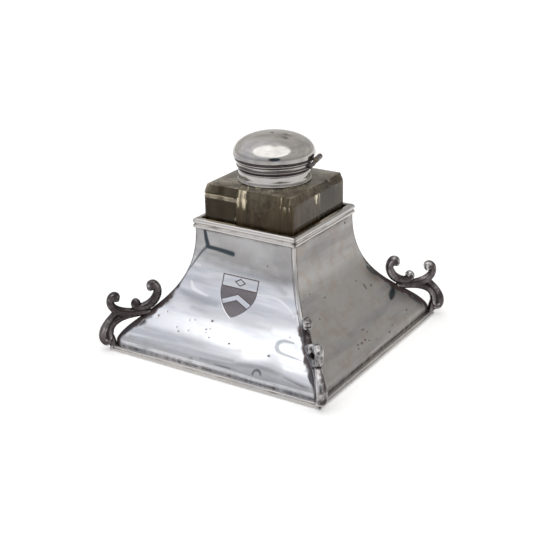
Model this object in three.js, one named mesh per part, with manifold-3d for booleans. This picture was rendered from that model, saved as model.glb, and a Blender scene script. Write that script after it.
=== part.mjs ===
// A silver-plated desk inkstand: four flared panels mitred into a square stand, with a
// moulding round its foot and its rim, a cast scroll pen rest on each corner, and a square
// glass well that lifts out of a tray in the top. The well has a collar and a hinged lid.
// Millimetres, +Z up. The origin is the middle of the underside, and -Y is the front.
import * as THREE from "three";
import { mergeVertices } from "three/addons/utils/BufferGeometryUtils.js";
import Module from "manifold-3d";

const wasm = await Module();
wasm.setup();

// ---- Driving dimensions ----

const GAP = 0.3; // between pieces that are soldered, glued or rest on each other

const BASE_WIDTH = 140; // over the foot moulding
const STAND_HEIGHT = 75.7; // to the top of the rim moulding
const SHEET = 0.8; // panel thickness

const FOOT_HEIGHT = 3.5; // foot moulding
const FOOT_DEPTH = 8;
const FOOT_LEDGE = 3; // how far the foot moulding stands out past the panels
const SHOULDER_HEIGHT = 4.1; // upright wall of a panel, from the foot up to its shoulder
const SHOULDER_SET_IN = 0.6;

const RIM_HEIGHT = 5.8; // rim moulding
const RIM_DEPTH = 3.4;
const RIM_LEDGE = 1; // how far the rim moulding stands out past the panels

const GLASS_WIDTH = 58.1;
const GLASS_HEIGHT = 45.3; // to the flat top, without the neck
const GLASS_SHOWING = 19.6; // from the rim to the flat top
const GLASS_CHAMFER_WIDTH = 1.75;
const GLASS_CHAMFER_HEIGHT = 4.5;
const GLASS_CORNER = 2.5;
const GLASS_FLOOR = 7; // glass under the bore
const NECK_HEIGHT = 5.5;
const NECK_RADIUS = 18.4;
const NECK_WALL = 3.4;
const BORE_RADIUS = 17; // in the block

const TRAY_CLEARANCE = 0.95; // on each side of the glass
const TRAY_WALL = 0.6;
const PAD_THICKNESS = 1.5;

const COLLAR_HEIGHT = 11.1;
const COLLAR_WALL = 1.7;
const COLLAR_GROOVE_HEIGHT = 6.6; // from the foot of the collar to its groove
const COLLAR_GROOVE_WIDTH = 1.2;
const COLLAR_GROOVE_DEPTH = 0.7;
const COLLAR_HEAD_STEP = 0.9; // how far the head of the collar stands out past its foot
const COLLAR_LIP = 2.2; // how far the head reaches in over the neck

const LID_OVERHANG = 1.9; // of the lid's widest circle past the head of the collar
const LID_DOME = 11.4; // from the widest circle to the crown
const LID_EDGE = 1.4; // rounded edge under the widest circle
const LID_SHEET = 0.9;
const BEZEL_HEIGHT = 2;
const BEZEL_SET_IN = 0.8; // of the bezel's outside from the lid's
const BEZEL_WALL = 3;
const LINER_SHEET = 0.8;
const LINER_RISE = 3;

const HINGE_AZIMUTH = 13; // degrees from +X towards +Y
const KNUCKLE_RADIUS = 1.6;
const KNUCKLE_LENGTH = 2.4;
const PIN_RADIUS = 0.6;
const HINGE_CLEARANCE = 0.7; // between the lid's edge and the knuckles
const LEAF_THICKNESS = 1.3;

const BAIZE_THICKNESS = 1;
const GUSSET_LEG = 26; // side of the corner gusset along the moulding
const GUSSET_SHEET = 1;
const SCREW_INSET = 12; // from the gusset's square corner, both ways
const SCREW_SHANK = 1.2; // radius
const SCREW_HEAD = 2.6; // radius
const SCREW_HEAD_HEIGHT = 1;
const SCREW_TIP = 1.4; // past the gusset

const REST_SEAT_HEIGHT = 24; // where the pen rest lies on the corner ridge
const REST_ARM = 5.1; // thickness of the two arms
const REST_LEG = 6;
const REST_STRUT = 4.4;
const REST_HEAD_DEPTH = 5.8; // of the rolled ends, across the scrolls
const REST_FOOT_DEPTH = 6.6;

// ---- Sizes worked out from them ----

const footHalf = BASE_WIDTH / 2;
const panelFootHalf = footHalf - FOOT_LEDGE;
const panelFootZ = FOOT_HEIGHT + GAP;
const shoulderZ = panelFootZ + SHOULDER_HEIGHT;

const glassHalf = GLASS_WIDTH / 2;
const glassTop = STAND_HEIGHT + GLASS_SHOWING;
const glassFoot = glassTop - GLASS_HEIGHT;

const trayHalf = glassHalf + TRAY_CLEARANCE; // inside the tray
const trayFloorTop = glassFoot - GAP - PAD_THICKNESS - GAP;
const rimInner = trayHalf + GAP;
const rimOuter = rimInner + RIM_DEPTH;
const rimFoot = STAND_HEIGHT - RIM_HEIGHT;
const panelTopHalf = rimOuter - RIM_LEDGE;
const panelTopZ = rimFoot - GAP;

const mouthRadius = NECK_RADIUS - NECK_WALL;

const collarFoot = glassTop + GAP;
const collarTop = collarFoot + COLLAR_HEIGHT;
const collarBore = NECK_RADIUS + GAP;
const collarRadius = collarBore + COLLAR_WALL;
const collarHead = collarRadius + COLLAR_HEAD_STEP;

const bezelFoot = collarTop + GAP;
const bezelTop = bezelFoot + BEZEL_HEIGHT;
const lidRadius = collarHead + LID_OVERHANG;
const bezelRadius = lidRadius - BEZEL_SET_IN;
const lidFoot = bezelTop + GAP / 2;
const lidWidest = lidFoot + LID_EDGE;

const hingeReach = lidRadius + HINGE_CLEARANCE + KNUCKLE_RADIUS;
const hingeZ = bezelTop;

const boardFoot = BAIZE_THICKNESS + GAP;
const boardTop = FOOT_HEIGHT; // level with the moulding, so the gussets lie flat on both
const boardHalf = footHalf - FOOT_DEPTH - GAP;
const gussetFoot = FOOT_HEIGHT + GAP;
const gussetCorner = panelFootHalf - SHEET - GAP;
const screwPlace = gussetCorner - SCREW_INSET;

// ---- Finishes ----

function finish(color, roughness, metalness) {
  return new THREE.MeshStandardMaterial({ color, roughness, metalness });
}

const PLATE = () => finish(0xb9b6b3, 0.22, 1);
const OXIDISED_PLATE = () => finish(0x5a5350, 0.35, 1);
const BRIGHT_PLATE = () => finish(0xc9c4bf, 0.15, 1);
const GLASS = () => finish(0x4a4336, 0.05, 0);
const BRASS = () => finish(0x9a8350, 0.35, 1);
const WOOD = () => finish(0x5b3a22, 0.7, 0);
const BAIZE = () => finish(0x22422d, 0.95, 0);
const FELT = () => finish(0x3a342c, 0.95, 0);

// ---- Solids ----

// A closed mesh as a solid, without the triangles that shrink to a line on a turning axis.
function solidOf(geometry) {
  const bare = geometry.clone();
  bare.deleteAttribute("normal");
  bare.deleteAttribute("uv");
  const merged = mergeVertices(bare, 1e-4);
  const triangles = [];
  for (let i = 0; i < merged.index.count; i += 3) {
    const corners = [0, 1, 2].map((k) => merged.index.getX(i + k));
    if (new Set(corners).size === 3) triangles.push(...corners);
  }
  return new wasm.Manifold(
    new wasm.Mesh({
      numProp: 3,
      vertProperties: merged.attributes.position.array,
      triVerts: new Uint32Array(triangles),
    }),
  );
}

function geometryOf(solid) {
  const mesh = solid.getMesh();
  const geometry = new THREE.BufferGeometry();
  geometry.setAttribute("position", new THREE.BufferAttribute(mesh.vertProperties, 3));
  geometry.setIndex(new THREE.BufferAttribute(mesh.triVerts, 1));
  return geometry;
}

function join(first, ...rest) {
  return rest.reduce((sum, geometry) => sum.add(solidOf(geometry)), solidOf(first));
}

function cut(body, ...tools) {
  return geometryOf(tools.reduce((left, tool) => left.subtract(solidOf(tool)), solidOf(body)));
}

function common(body, ...others) {
  return geometryOf(others.reduce((left, other) => left.intersect(solidOf(other)), solidOf(body)));
}

// An outline in plan, raised from one height to another.
function slab(shape, foot, top) {
  const geometry = new THREE.ExtrudeGeometry(shape, {
    depth: top - foot,
    bevelEnabled: false,
    curveSegments: 4,
  });
  return geometry.translate(0, 0, foot);
}

function roundedSquare(half, radius) {
  const shape = new THREE.Shape();
  shape.moveTo(-half + radius, -half);
  shape.lineTo(half - radius, -half);
  shape.absarc(half - radius, -half + radius, radius, -Math.PI / 2, 0, false);
  shape.lineTo(half, half - radius);
  shape.absarc(half - radius, half - radius, radius, 0, Math.PI / 2, false);
  shape.lineTo(-half + radius, half);
  shape.absarc(-half + radius, half - radius, radius, Math.PI / 2, Math.PI, false);
  shape.lineTo(-half, -half + radius);
  shape.absarc(-half + radius, -half + radius, radius, Math.PI, Math.PI * 1.5, false);
  return shape;
}

// A profile of [radius, height] pairs turned about +Z.
function turned(profile, sides) {
  const points = profile.map(([radius, height]) => new THREE.Vector2(radius, height));
  return new THREE.LatheGeometry(points, sides).rotateX(Math.PI / 2);
}

function rod(radius, foot, top, sides) {
  return turned([[0, foot], [radius, foot], [radius, top], [0, top]], sides);
}

// ---- Straight runs along one side, mitred at both ends ----

// A section drawn as [outward, up], run along the front side.
function run(shape, length) {
  const geometry = new THREE.ExtrudeGeometry(shape, {
    depth: length,
    bevelEnabled: false,
    curveSegments: 5,
  });
  const outward = new THREE.Vector3(0, -1, 0);
  const up = new THREE.Vector3(0, 0, 1);
  const along = new THREE.Vector3(-1, 0, 0);
  geometry.translate(0, 0, -length / 2);
  return geometry.applyMatrix4(new THREE.Matrix4().makeBasis(outward, up, along));
}

// The quarter of the plan in front of both diagonals, less half the mitre's gap.
function frontQuarter() {
  const reach = BASE_WIDTH;
  const apex = -GAP / Math.SQRT2;
  const shape = new THREE.Shape();
  shape.moveTo(0, apex);
  shape.lineTo(-reach, apex - reach);
  shape.lineTo(reach, apex - reach);
  return slab(shape, -1, STAND_HEIGHT + 1);
}

function mitred(shape) {
  return common(run(shape, 2 * BASE_WIDTH), frontQuarter());
}

// ---- Panels ----

// The face of a panel: a long ogee from the rim down to the shoulder.
function faceCurve() {
  const height = panelTopZ - shoulderZ;
  const spread = panelFootHalf - SHOULDER_SET_IN - panelTopHalf;
  const shoulder = panelTopHalf + spread;
  return new THREE.CubicBezierCurve(
    new THREE.Vector2(panelTopHalf, panelTopZ),
    new THREE.Vector2(panelTopHalf, panelTopZ - 0.68 * height),
    new THREE.Vector2(shoulder - 0.2 * spread, shoulderZ + 0.23 * height),
    new THREE.Vector2(shoulder, shoulderZ),
  );
}

// Half the width of the stand at a height on the ogee.
function faceHalfAt(z) {
  const curve = faceCurve();
  let above = 0;
  let below = 1;
  for (let step = 0; step < 40; step++) {
    const middle = (above + below) / 2;
    if (curve.getPoint(middle).y > z) above = middle;
    else below = middle;
  }
  return curve.getPoint(below).x;
}

// Points of the face from the rim to the foot, set inwards by an amount.
function facePoints(setIn) {
  const ogee = faceCurve();
  const shoulder = new THREE.QuadraticBezierCurve(
    ogee.getPoint(1),
    new THREE.Vector2(panelFootHalf, shoulderZ - 0.3 * SHOULDER_HEIGHT),
    new THREE.Vector2(panelFootHalf, shoulderZ - 0.6 * SHOULDER_HEIGHT),
  );
  const points = [];
  const place = (curve, t) => {
    const tangent = curve.getTangent(t);
    const at = curve.getPoint(t);
    points.push(new THREE.Vector2(at.x + tangent.y * setIn, at.y - tangent.x * setIn));
  };
  for (let step = 0; step <= 16; step++) place(ogee, step / 16);
  for (let step = 1; step <= 3; step++) place(shoulder, step / 3);
  points.push(new THREE.Vector2(panelFootHalf - setIn, panelFootZ));
  points[0].y = panelTopZ;
  return points;
}

function panel() {
  const outline = [...facePoints(0), ...facePoints(SHEET).reverse()];
  return mitred(new THREE.Shape(outline));
}

// The whole outside of the stand grown by the gap, which the pen rests are filed to fit.
function standGrown() {
  const outer = facePoints(-GAP);
  const left = outer.map((point) => new THREE.Vector2(-point.x, point.y)).reverse();
  const foot = footHalf + GAP;
  const section = new THREE.Shape([
    ...outer,
    new THREE.Vector2(foot, FOOT_HEIGHT + GAP),
    new THREE.Vector2(foot, -1),
    new THREE.Vector2(-foot, -1),
    new THREE.Vector2(-foot, FOOT_HEIGHT + GAP),
    ...left,
  ]);
  const across = run(section, 2 * foot);
  return common(across, across.clone().rotateZ(Math.PI / 2));
}

// ---- Mouldings ----

// A fine reed over a broad one.
function footSection() {
  const fine = 0.26 * FOOT_HEIGHT;
  const broad = FOOT_HEIGHT - fine - 0.5;
  const shape = new THREE.Shape();
  shape.moveTo(footHalf - FOOT_DEPTH, 0);
  shape.lineTo(footHalf - broad / 2, 0);
  shape.absellipse(footHalf - broad / 2, broad / 2, broad / 2, broad / 2, -Math.PI / 2, 1.2, false);
  shape.lineTo(footHalf - 0.9, broad + 0.2);
  shape.absellipse(footHalf - 1, FOOT_HEIGHT - fine / 2, 0.8, fine / 2, -1.1, Math.PI / 2, false);
  shape.lineTo(footHalf - FOOT_DEPTH, FOOT_HEIGHT);
  return shape;
}

// Two reeds, the upper one rolling over the top edge.
function rimSection() {
  const lower = 0.42 * RIM_HEIGHT;
  const upper = RIM_HEIGHT - lower;
  const shape = new THREE.Shape();
  shape.moveTo(rimInner, rimFoot);
  shape.lineTo(rimOuter - lower / 2, rimFoot);
  shape.absarc(rimOuter - lower / 2, rimFoot + lower / 2, lower / 2, -Math.PI / 2, 1, false);
  shape.absarc(rimOuter - upper / 2, STAND_HEIGHT - upper / 2, upper / 2, -0.9, Math.PI / 2, false);
  shape.lineTo(rimInner + 0.5, STAND_HEIGHT);
  shape.lineTo(rimInner, STAND_HEIGHT - 0.5);
  return shape;
}

// ---- Pen rests, drawn as [out along the diagonal, up] ----

// A round bar along a curve through its points.
function scroll(points, radius, steps) {
  const curve = new THREE.CatmullRomCurve3(points);
  const section = new THREE.Shape();
  section.absarc(0, 0, radius, 0, 2 * Math.PI, false);
  return new THREE.ExtrudeGeometry(section, { steps, extrudePath: curve, curveSegments: 4 });
}

// A ball flattened across the scrolls.
function bulb(centre, radius, depth) {
  const geometry = new THREE.SphereGeometry(radius, 8, 6);
  geometry.scale(1, depth / (2 * radius), 1);
  return geometry.translate(centre.x, centre.y, centre.z);
}

function penRest() {
  const seat = Math.SQRT2 * faceHalfAt(REST_SEAT_HEIGHT);
  const corner = Math.SQRT2 * footHalf;
  const onSeat = (out, up) => new THREE.Vector3(seat + out, 0, REST_SEAT_HEIGHT + up);
  const onFoot = (out, up) => new THREE.Vector3(corner + out, 0, up);
  const knee = onSeat(24.2, -5.4);

  const inner = scroll(
    [
      onSeat(-2.9, 13.4), onSeat(-3.9, 10.5), onSeat(-3.5, 7.6), onSeat(-2, 4.8),
      onSeat(0.6, 2.1), onSeat(3.9, 0.4), onSeat(7.1, 0.2), onSeat(9.1, 2.2),
    ],
    REST_ARM / 2,
    10,
  );
  const outer = scroll(
    [
      onSeat(2.8, -2.6), onSeat(6.8, -2.1), onSeat(11.8, -1.7), onSeat(16.8, -0.9),
      onSeat(20.9, 1.4), onSeat(23.3, 5), onSeat(22.9, 8),
    ],
    REST_ARM / 2,
    9,
  );
  const neck = scroll([onSeat(20.6, 0.6), onSeat(22.2, -2.6), knee], REST_STRUT / 2, 3);
  const leg = scroll(
    [knee, onFoot(-0.6, 16.6), onFoot(1.5, 13.8), onFoot(2.4, 10.6), onFoot(2, 7.6)],
    REST_LEG / 2,
    5,
  );
  const strut = scroll(
    [
      onSeat(11, -3.6), onSeat(15.8, -4.1), onSeat(20.1, -5.4), onFoot(-2.8, 15.8),
      onFoot(-1, 12.3), onFoot(-1.4, 8.8), onFoot(-2.4, 5.2), onFoot(-3, 3),
    ],
    REST_STRUT / 2,
    8,
  );
  const rest = join(
    inner,
    outer,
    neck,
    leg,
    strut,
    bulb(knee, REST_LEG / 2, REST_LEG),
    bulb(onSeat(-1, 13.5), 3.1, REST_HEAD_DEPTH),
    bulb(onSeat(8.7, 3.6), 2.4, REST_ARM),
    bulb(onSeat(21, 8.6), 2.9, REST_HEAD_DEPTH),
    bulb(onFoot(0.7, 8), 4.4, REST_FOOT_DEPTH),
  );
  return cut(geometryOf(rest), standGrown().rotateZ(Math.PI / 4));
}

// ---- Tray and pad that hold the well ----

function wellTray() {
  const corner = GLASS_CORNER + TRAY_CLEARANCE;
  const outside = roundedSquare(trayHalf + TRAY_WALL, corner + TRAY_WALL);
  return cut(
    slab(outside, trayFloorTop - TRAY_WALL, panelTopZ),
    slab(roundedSquare(trayHalf, corner), trayFloorTop, panelTopZ + 1),
  );
}

function wellPad() {
  const shape = roundedSquare(trayHalf - GAP, GLASS_CORNER);
  return slab(shape, trayFloorTop + GAP, trayFloorTop + GAP + PAD_THICKNESS);
}

// ---- Underside ----

function screwHole(radius, foot, top) {
  return rod(radius, foot, top, 12).translate(screwPlace, screwPlace, 0);
}

function baseBoard() {
  const board = slab(roundedSquare(boardHalf, 1), boardFoot, boardTop);
  const holes = [0, 1, 2, 3].flatMap((quarter) => {
    const turn = (quarter * Math.PI) / 2;
    const shank = screwHole(SCREW_SHANK + GAP, boardFoot - 1, boardTop + 1);
    const head = screwHole(SCREW_HEAD + GAP, boardFoot - 1, boardFoot + SCREW_HEAD_HEIGHT + GAP);
    return [shank.rotateZ(turn), head.rotateZ(turn)];
  });
  return cut(board, ...holes);
}

function baseBaize() {
  return slab(roundedSquare(boardHalf, 1), 0, BAIZE_THICKNESS);
}

// A three-cornered plate soldered on the foot moulding, drawn for the back right corner.
function gusset() {
  const shape = new THREE.Shape();
  shape.moveTo(gussetCorner, gussetCorner);
  shape.lineTo(gussetCorner - GUSSET_LEG, gussetCorner);
  shape.lineTo(gussetCorner, gussetCorner - GUSSET_LEG);
  const plate = slab(shape, gussetFoot, gussetFoot + GUSSET_SHEET);
  return cut(plate, screwHole(SCREW_SHANK + GAP, gussetFoot - 1, gussetFoot + GUSSET_SHEET + 1));
}

function screw() {
  const foot = boardFoot;
  const tip = gussetFoot + GUSSET_SHEET + SCREW_TIP;
  const profile = [
    [0, foot], [SCREW_HEAD, foot], [SCREW_HEAD, foot + SCREW_HEAD_HEIGHT],
    [SCREW_SHANK, foot + SCREW_HEAD_HEIGHT], [SCREW_SHANK, tip - SCREW_SHANK], [0, tip],
  ];
  return turned(profile, 12).translate(screwPlace, screwPlace, 0);
}

// ---- Glass well ----

function glassWell() {
  const side = new THREE.Shape([
    new THREE.Vector2(-glassHalf + 1, glassFoot),
    new THREE.Vector2(glassHalf - 1, glassFoot),
    new THREE.Vector2(glassHalf, glassFoot + 1),
    new THREE.Vector2(glassHalf, glassTop - GLASS_CHAMFER_HEIGHT),
    new THREE.Vector2(glassHalf - GLASS_CHAMFER_WIDTH, glassTop),
    new THREE.Vector2(-glassHalf + GLASS_CHAMFER_WIDTH, glassTop),
    new THREE.Vector2(-glassHalf, glassTop - GLASS_CHAMFER_HEIGHT),
    new THREE.Vector2(-glassHalf, glassFoot + 1),
  ]);
  const across = run(side, 2 * GLASS_WIDTH);
  const plan = slab(roundedSquare(glassHalf, GLASS_CORNER), glassFoot - 1, glassTop + 1);
  const block = common(across, across.clone().rotateZ(Math.PI / 2), plan);
  const neckTop = glassTop + NECK_HEIGHT;
  const neck = rod(NECK_RADIUS, glassTop - 1, neckTop, 40);
  const floor = glassFoot + GLASS_FLOOR;
  const narrowing = glassTop - (BORE_RADIUS - mouthRadius);
  const bore = turned(
    [
      [0, floor], [0.6 * BORE_RADIUS, floor], [0.88 * BORE_RADIUS, floor + 0.12 * BORE_RADIUS],
      [BORE_RADIUS, floor + 0.4 * BORE_RADIUS], [BORE_RADIUS, narrowing - 2],
      [mouthRadius, narrowing], [mouthRadius, neckTop + 1], [0, neckTop + 1],
    ],
    32,
  );
  return cut(geometryOf(join(block, neck)), bore);
}

// ---- Collar and lid ----

function collar() {
  const grooveFoot = collarFoot + COLLAR_GROOVE_HEIGHT;
  const grooveTop = grooveFoot + COLLAR_GROOVE_WIDTH;
  const grooveRadius = collarRadius - COLLAR_GROOVE_DEPTH;
  const lipFoot = glassTop + NECK_HEIGHT + GAP;
  const lipRadius = collarBore - COLLAR_LIP;
  return turned(
    [
      [collarBore, collarFoot], [collarRadius + 0.5, collarFoot], [collarRadius + 0.5, collarFoot + 0.7],
      [collarRadius, collarFoot + 1.1], [collarRadius, grooveFoot], [grooveRadius, grooveFoot + 0.3],
      [grooveRadius, grooveTop - 0.3], [collarHead - 0.4, grooveTop], [collarHead, grooveTop + 0.5],
      [collarHead, collarTop - 0.5], [collarHead - 0.5, collarTop], [lipRadius, collarTop],
      [lipRadius, lipFoot], [collarBore, lipFoot], [collarBore, collarFoot],
    ],
    40,
  );
}

function lidBezel() {
  const inner = bezelRadius - BEZEL_WALL;
  return turned(
    [
      [inner, bezelFoot], [bezelRadius - 0.6, bezelFoot], [bezelRadius, bezelFoot + 0.6],
      [bezelRadius, bezelTop - 0.6], [bezelRadius - 0.6, bezelTop], [inner, bezelTop],
      [inner, bezelFoot],
    ],
    40,
  );
}

// A quarter of an ellipse about the axis, from its rim to its crown.
function domeProfile(radius, widest, rise, steps) {
  const points = [];
  for (let step = 0; step <= steps; step++) {
    const angle = (step / steps) * (Math.PI / 2);
    const reach = step === steps ? 0 : radius * Math.cos(angle);
    points.push([reach, widest + rise * Math.sin(angle)]);
  }
  return points;
}

function lidShell() {
  const outside = domeProfile(lidRadius, lidWidest, LID_DOME, 7);
  const inside = domeProfile(lidRadius - LID_SHEET, lidWidest, LID_DOME - LID_SHEET, 7);
  const edge = lidRadius - 0.75 * LID_EDGE;
  return turned(
    [
      ...inside.reverse(), [edge - LID_SHEET, lidFoot], [edge, lidFoot],
      [lidRadius - 0.25 * LID_EDGE, lidFoot + 0.4 * LID_EDGE], ...outside,
    ],
    36,
  );
}

// A shallow dished plate inside the bezel, which closes the underside of the lid.
function lidLiner() {
  const radius = bezelRadius - BEZEL_WALL - GAP;
  const rise = LINER_RISE;
  return turned(
    [
      [0, bezelFoot + rise], [0.5 * radius, bezelFoot + 0.8 * rise], [0.85 * radius, bezelFoot + 0.3],
      [radius, bezelFoot], [radius, bezelFoot + LINER_SHEET], [0.88 * radius, bezelFoot + 0.3 + LINER_SHEET],
      [0.5 * radius, bezelFoot + 0.8 * rise + LINER_SHEET], [0, bezelFoot + rise + LINER_SHEET],
    ],
    32,
  );
}

// ---- Hinge, drawn with its barrel along Y and its reach along +X ----

function barrel(from, to, radius) {
  return rod(radius, from, to, 16).rotateX(-Math.PI / 2).translate(hingeReach, 0, hingeZ);
}

function knuckle(leaf, from, to) {
  const plate = new THREE.ExtrudeGeometry(leaf, { depth: to - from, bevelEnabled: false });
  plate.rotateX(Math.PI / 2).translate(0, to, 0);
  const pinHole = barrel(from - 1, to + 1, PIN_RADIUS + GAP / 3);
  return cut(geometryOf(join(barrel(from, to, KNUCKLE_RADIUS), plate)), pinHole);
}

// The leaf stands on the head of the collar and bends out under the barrel.
function collarKnuckle(side) {
  const near = KNUCKLE_LENGTH / 2 + GAP;
  const far = near + KNUCKLE_LENGTH;
  const wall = collarHead + GAP;
  const leaf = new THREE.Shape([
    new THREE.Vector2(wall, collarTop - 3),
    new THREE.Vector2(wall + LEAF_THICKNESS, collarTop - 3),
    new THREE.Vector2(hingeReach + 0.9, hingeZ - 1),
    new THREE.Vector2(hingeReach - 1.2, hingeZ - 0.4),
    new THREE.Vector2(wall, collarTop - 0.6),
  ]);
  return side < 0 ? knuckle(leaf, -far, -near) : knuckle(leaf, near, far);
}

// The leaf runs in under the lid's edge to the bezel.
function lidKnuckle() {
  const half = KNUCKLE_LENGTH / 2;
  const inner = bezelRadius + GAP;
  const leaf = new THREE.Shape([
    new THREE.Vector2(inner, hingeZ - 0.2 - LEAF_THICKNESS),
    new THREE.Vector2(hingeReach - 0.6, hingeZ - 0.2 - LEAF_THICKNESS),
    new THREE.Vector2(hingeReach - 0.6, hingeZ - 0.2),
    new THREE.Vector2(inner, hingeZ - 0.2),
  ]);
  return knuckle(leaf, -half, half);
}

function hingePin() {
  const end = 1.5 * KNUCKLE_LENGTH + GAP;
  return barrel(-end, end, PIN_RADIUS);
}

// ---- Assembly ----

function piece(name, geometry, material) {
  geometry.computeVertexNormals();
  const mesh = new THREE.Mesh(geometry, material);
  mesh.name = name;
  return mesh;
}

// One copy on each side, turned from the front.
function onEachSide(group, name, make, material) {
  ["front", "right", "back", "left"].forEach((side, quarter) => {
    const mesh = piece(`${name}_${side}`, make(), material());
    mesh.rotation.z = (quarter * Math.PI) / 2;
    group.add(mesh);
  });
}

// One copy on each corner, turned from a first place given in degrees about +Z.
function onEachCorner(group, name, make, material, first) {
  ["back_right", "back_left", "front_left", "front_right"].forEach((corner, quarter) => {
    const mesh = piece(`${name}_${corner}`, make(), material());
    mesh.rotation.z = THREE.MathUtils.degToRad(first + 90 * quarter);
    group.add(mesh);
  });
}

function makeStand() {
  const stand = new THREE.Group();
  onEachSide(stand, "panel", panel, PLATE);
  onEachSide(stand, "foot_moulding", () => mitred(footSection()), PLATE);
  onEachSide(stand, "rim_moulding", () => mitred(rimSection()), BRIGHT_PLATE);
  onEachCorner(stand, "pen_rest", penRest, OXIDISED_PLATE, 45);
  onEachCorner(stand, "base_gusset", gusset, BRASS, 0);
  onEachCorner(stand, "base_screw", screw, BRASS, 0);
  stand.add(piece("well_tray", wellTray(), PLATE()));
  stand.add(piece("well_pad", wellPad(), FELT()));
  stand.add(piece("base_board", baseBoard(), WOOD()));
  stand.add(piece("base_baize", baseBaize(), BAIZE()));
  return stand;
}

function makeHingeGroup() {
  const group = new THREE.Group();
  group.rotation.z = THREE.MathUtils.degToRad(HINGE_AZIMUTH);
  return group;
}

function makeWell() {
  const well = new THREE.Group();
  well.add(piece("glass_well", glassWell(), GLASS()));
  const fixed = makeHingeGroup();
  fixed.add(piece("collar", collar(), BRIGHT_PLATE()));
  fixed.add(piece("collar_knuckle_right", collarKnuckle(1), BRIGHT_PLATE()));
  fixed.add(piece("collar_knuckle_left", collarKnuckle(-1), BRIGHT_PLATE()));
  fixed.add(piece("hinge_pin", hingePin(), BRASS()));
  well.add(fixed);
  return well;
}

function makeLid() {
  const lid = makeHingeGroup();
  lid.add(piece("lid_shell", lidShell(), BRIGHT_PLATE()));
  lid.add(piece("lid_bezel", lidBezel(), BRIGHT_PLATE()));
  lid.add(piece("lid_liner", lidLiner(), PLATE()));
  lid.add(piece("lid_knuckle", lidKnuckle(), BRIGHT_PLATE()));
  return lid;
}

const inkstand = new THREE.Group();
inkstand.add(makeStand());
inkstand.add(makeWell());
inkstand.add(makeLid());

export default inkstand;
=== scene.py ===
import bmesh
import bpy
import math
import numpy as np
from mathutils import Matrix, Vector, noise
from mathutils.geometry import tessellate_polygon


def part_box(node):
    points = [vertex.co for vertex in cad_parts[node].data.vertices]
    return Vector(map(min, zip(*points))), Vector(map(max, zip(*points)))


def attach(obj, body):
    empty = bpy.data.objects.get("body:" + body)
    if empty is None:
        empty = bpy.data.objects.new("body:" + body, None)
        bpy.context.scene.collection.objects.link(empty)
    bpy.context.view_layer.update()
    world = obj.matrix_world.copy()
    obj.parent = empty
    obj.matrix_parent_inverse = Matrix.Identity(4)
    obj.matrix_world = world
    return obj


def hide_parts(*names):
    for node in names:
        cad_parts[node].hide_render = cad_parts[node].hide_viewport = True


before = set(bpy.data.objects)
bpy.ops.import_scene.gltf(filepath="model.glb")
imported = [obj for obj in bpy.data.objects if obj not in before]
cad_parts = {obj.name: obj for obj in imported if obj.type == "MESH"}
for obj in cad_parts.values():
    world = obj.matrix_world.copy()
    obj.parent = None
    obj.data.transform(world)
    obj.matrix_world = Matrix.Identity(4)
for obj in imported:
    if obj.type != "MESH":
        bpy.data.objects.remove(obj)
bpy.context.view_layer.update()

MM = 0.001

# ---- Stage: floor, light and camera ----
# The inkstand stands on a plain pale floor under a light box, in a quiet warm grey room with a
# large soft window to the front left and a dark corner behind the camera.
TARGET = Vector((0, 0, 38.5)) * MM
AZIMUTH = math.radians(32.545)
ELEVATION = math.radians(22.176)
ROLL = math.radians(-0.91)
DISTANCE = 666.3 * MM
LENS = 76.54
SIDEWAYS = -3.38 * MM
UPWARDS = 0.76 * MM


def look_from():
    """The camera's place and turn, from its bearing round the target."""
    back = Vector(
        (
            math.sin(AZIMUTH) * math.cos(ELEVATION),
            -math.cos(AZIMUTH) * math.cos(ELEVATION),
            math.sin(ELEVATION),
        )
    )
    level = Vector((math.cos(AZIMUTH), math.sin(AZIMUTH), 0))
    right = Matrix.Rotation(ROLL, 3, back) @ level
    up = back.cross(right)
    place = TARGET + back * DISTANCE + right * SIDEWAYS + up * UPWARDS
    turn = Matrix((right, up, back)).transposed().to_4x4()
    return Matrix.Translation(place) @ turn


camera = bpy.data.objects.new("camera", bpy.data.cameras.new("camera"))
camera.data.lens = LENS
camera.data.sensor_width = 36
camera.data.clip_start = 0.01
camera.matrix_world = look_from()
bpy.context.scene.collection.objects.link(camera)
bpy.context.scene.camera = camera
bpy.context.scene.view_settings.view_transform = "Standard"


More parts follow.
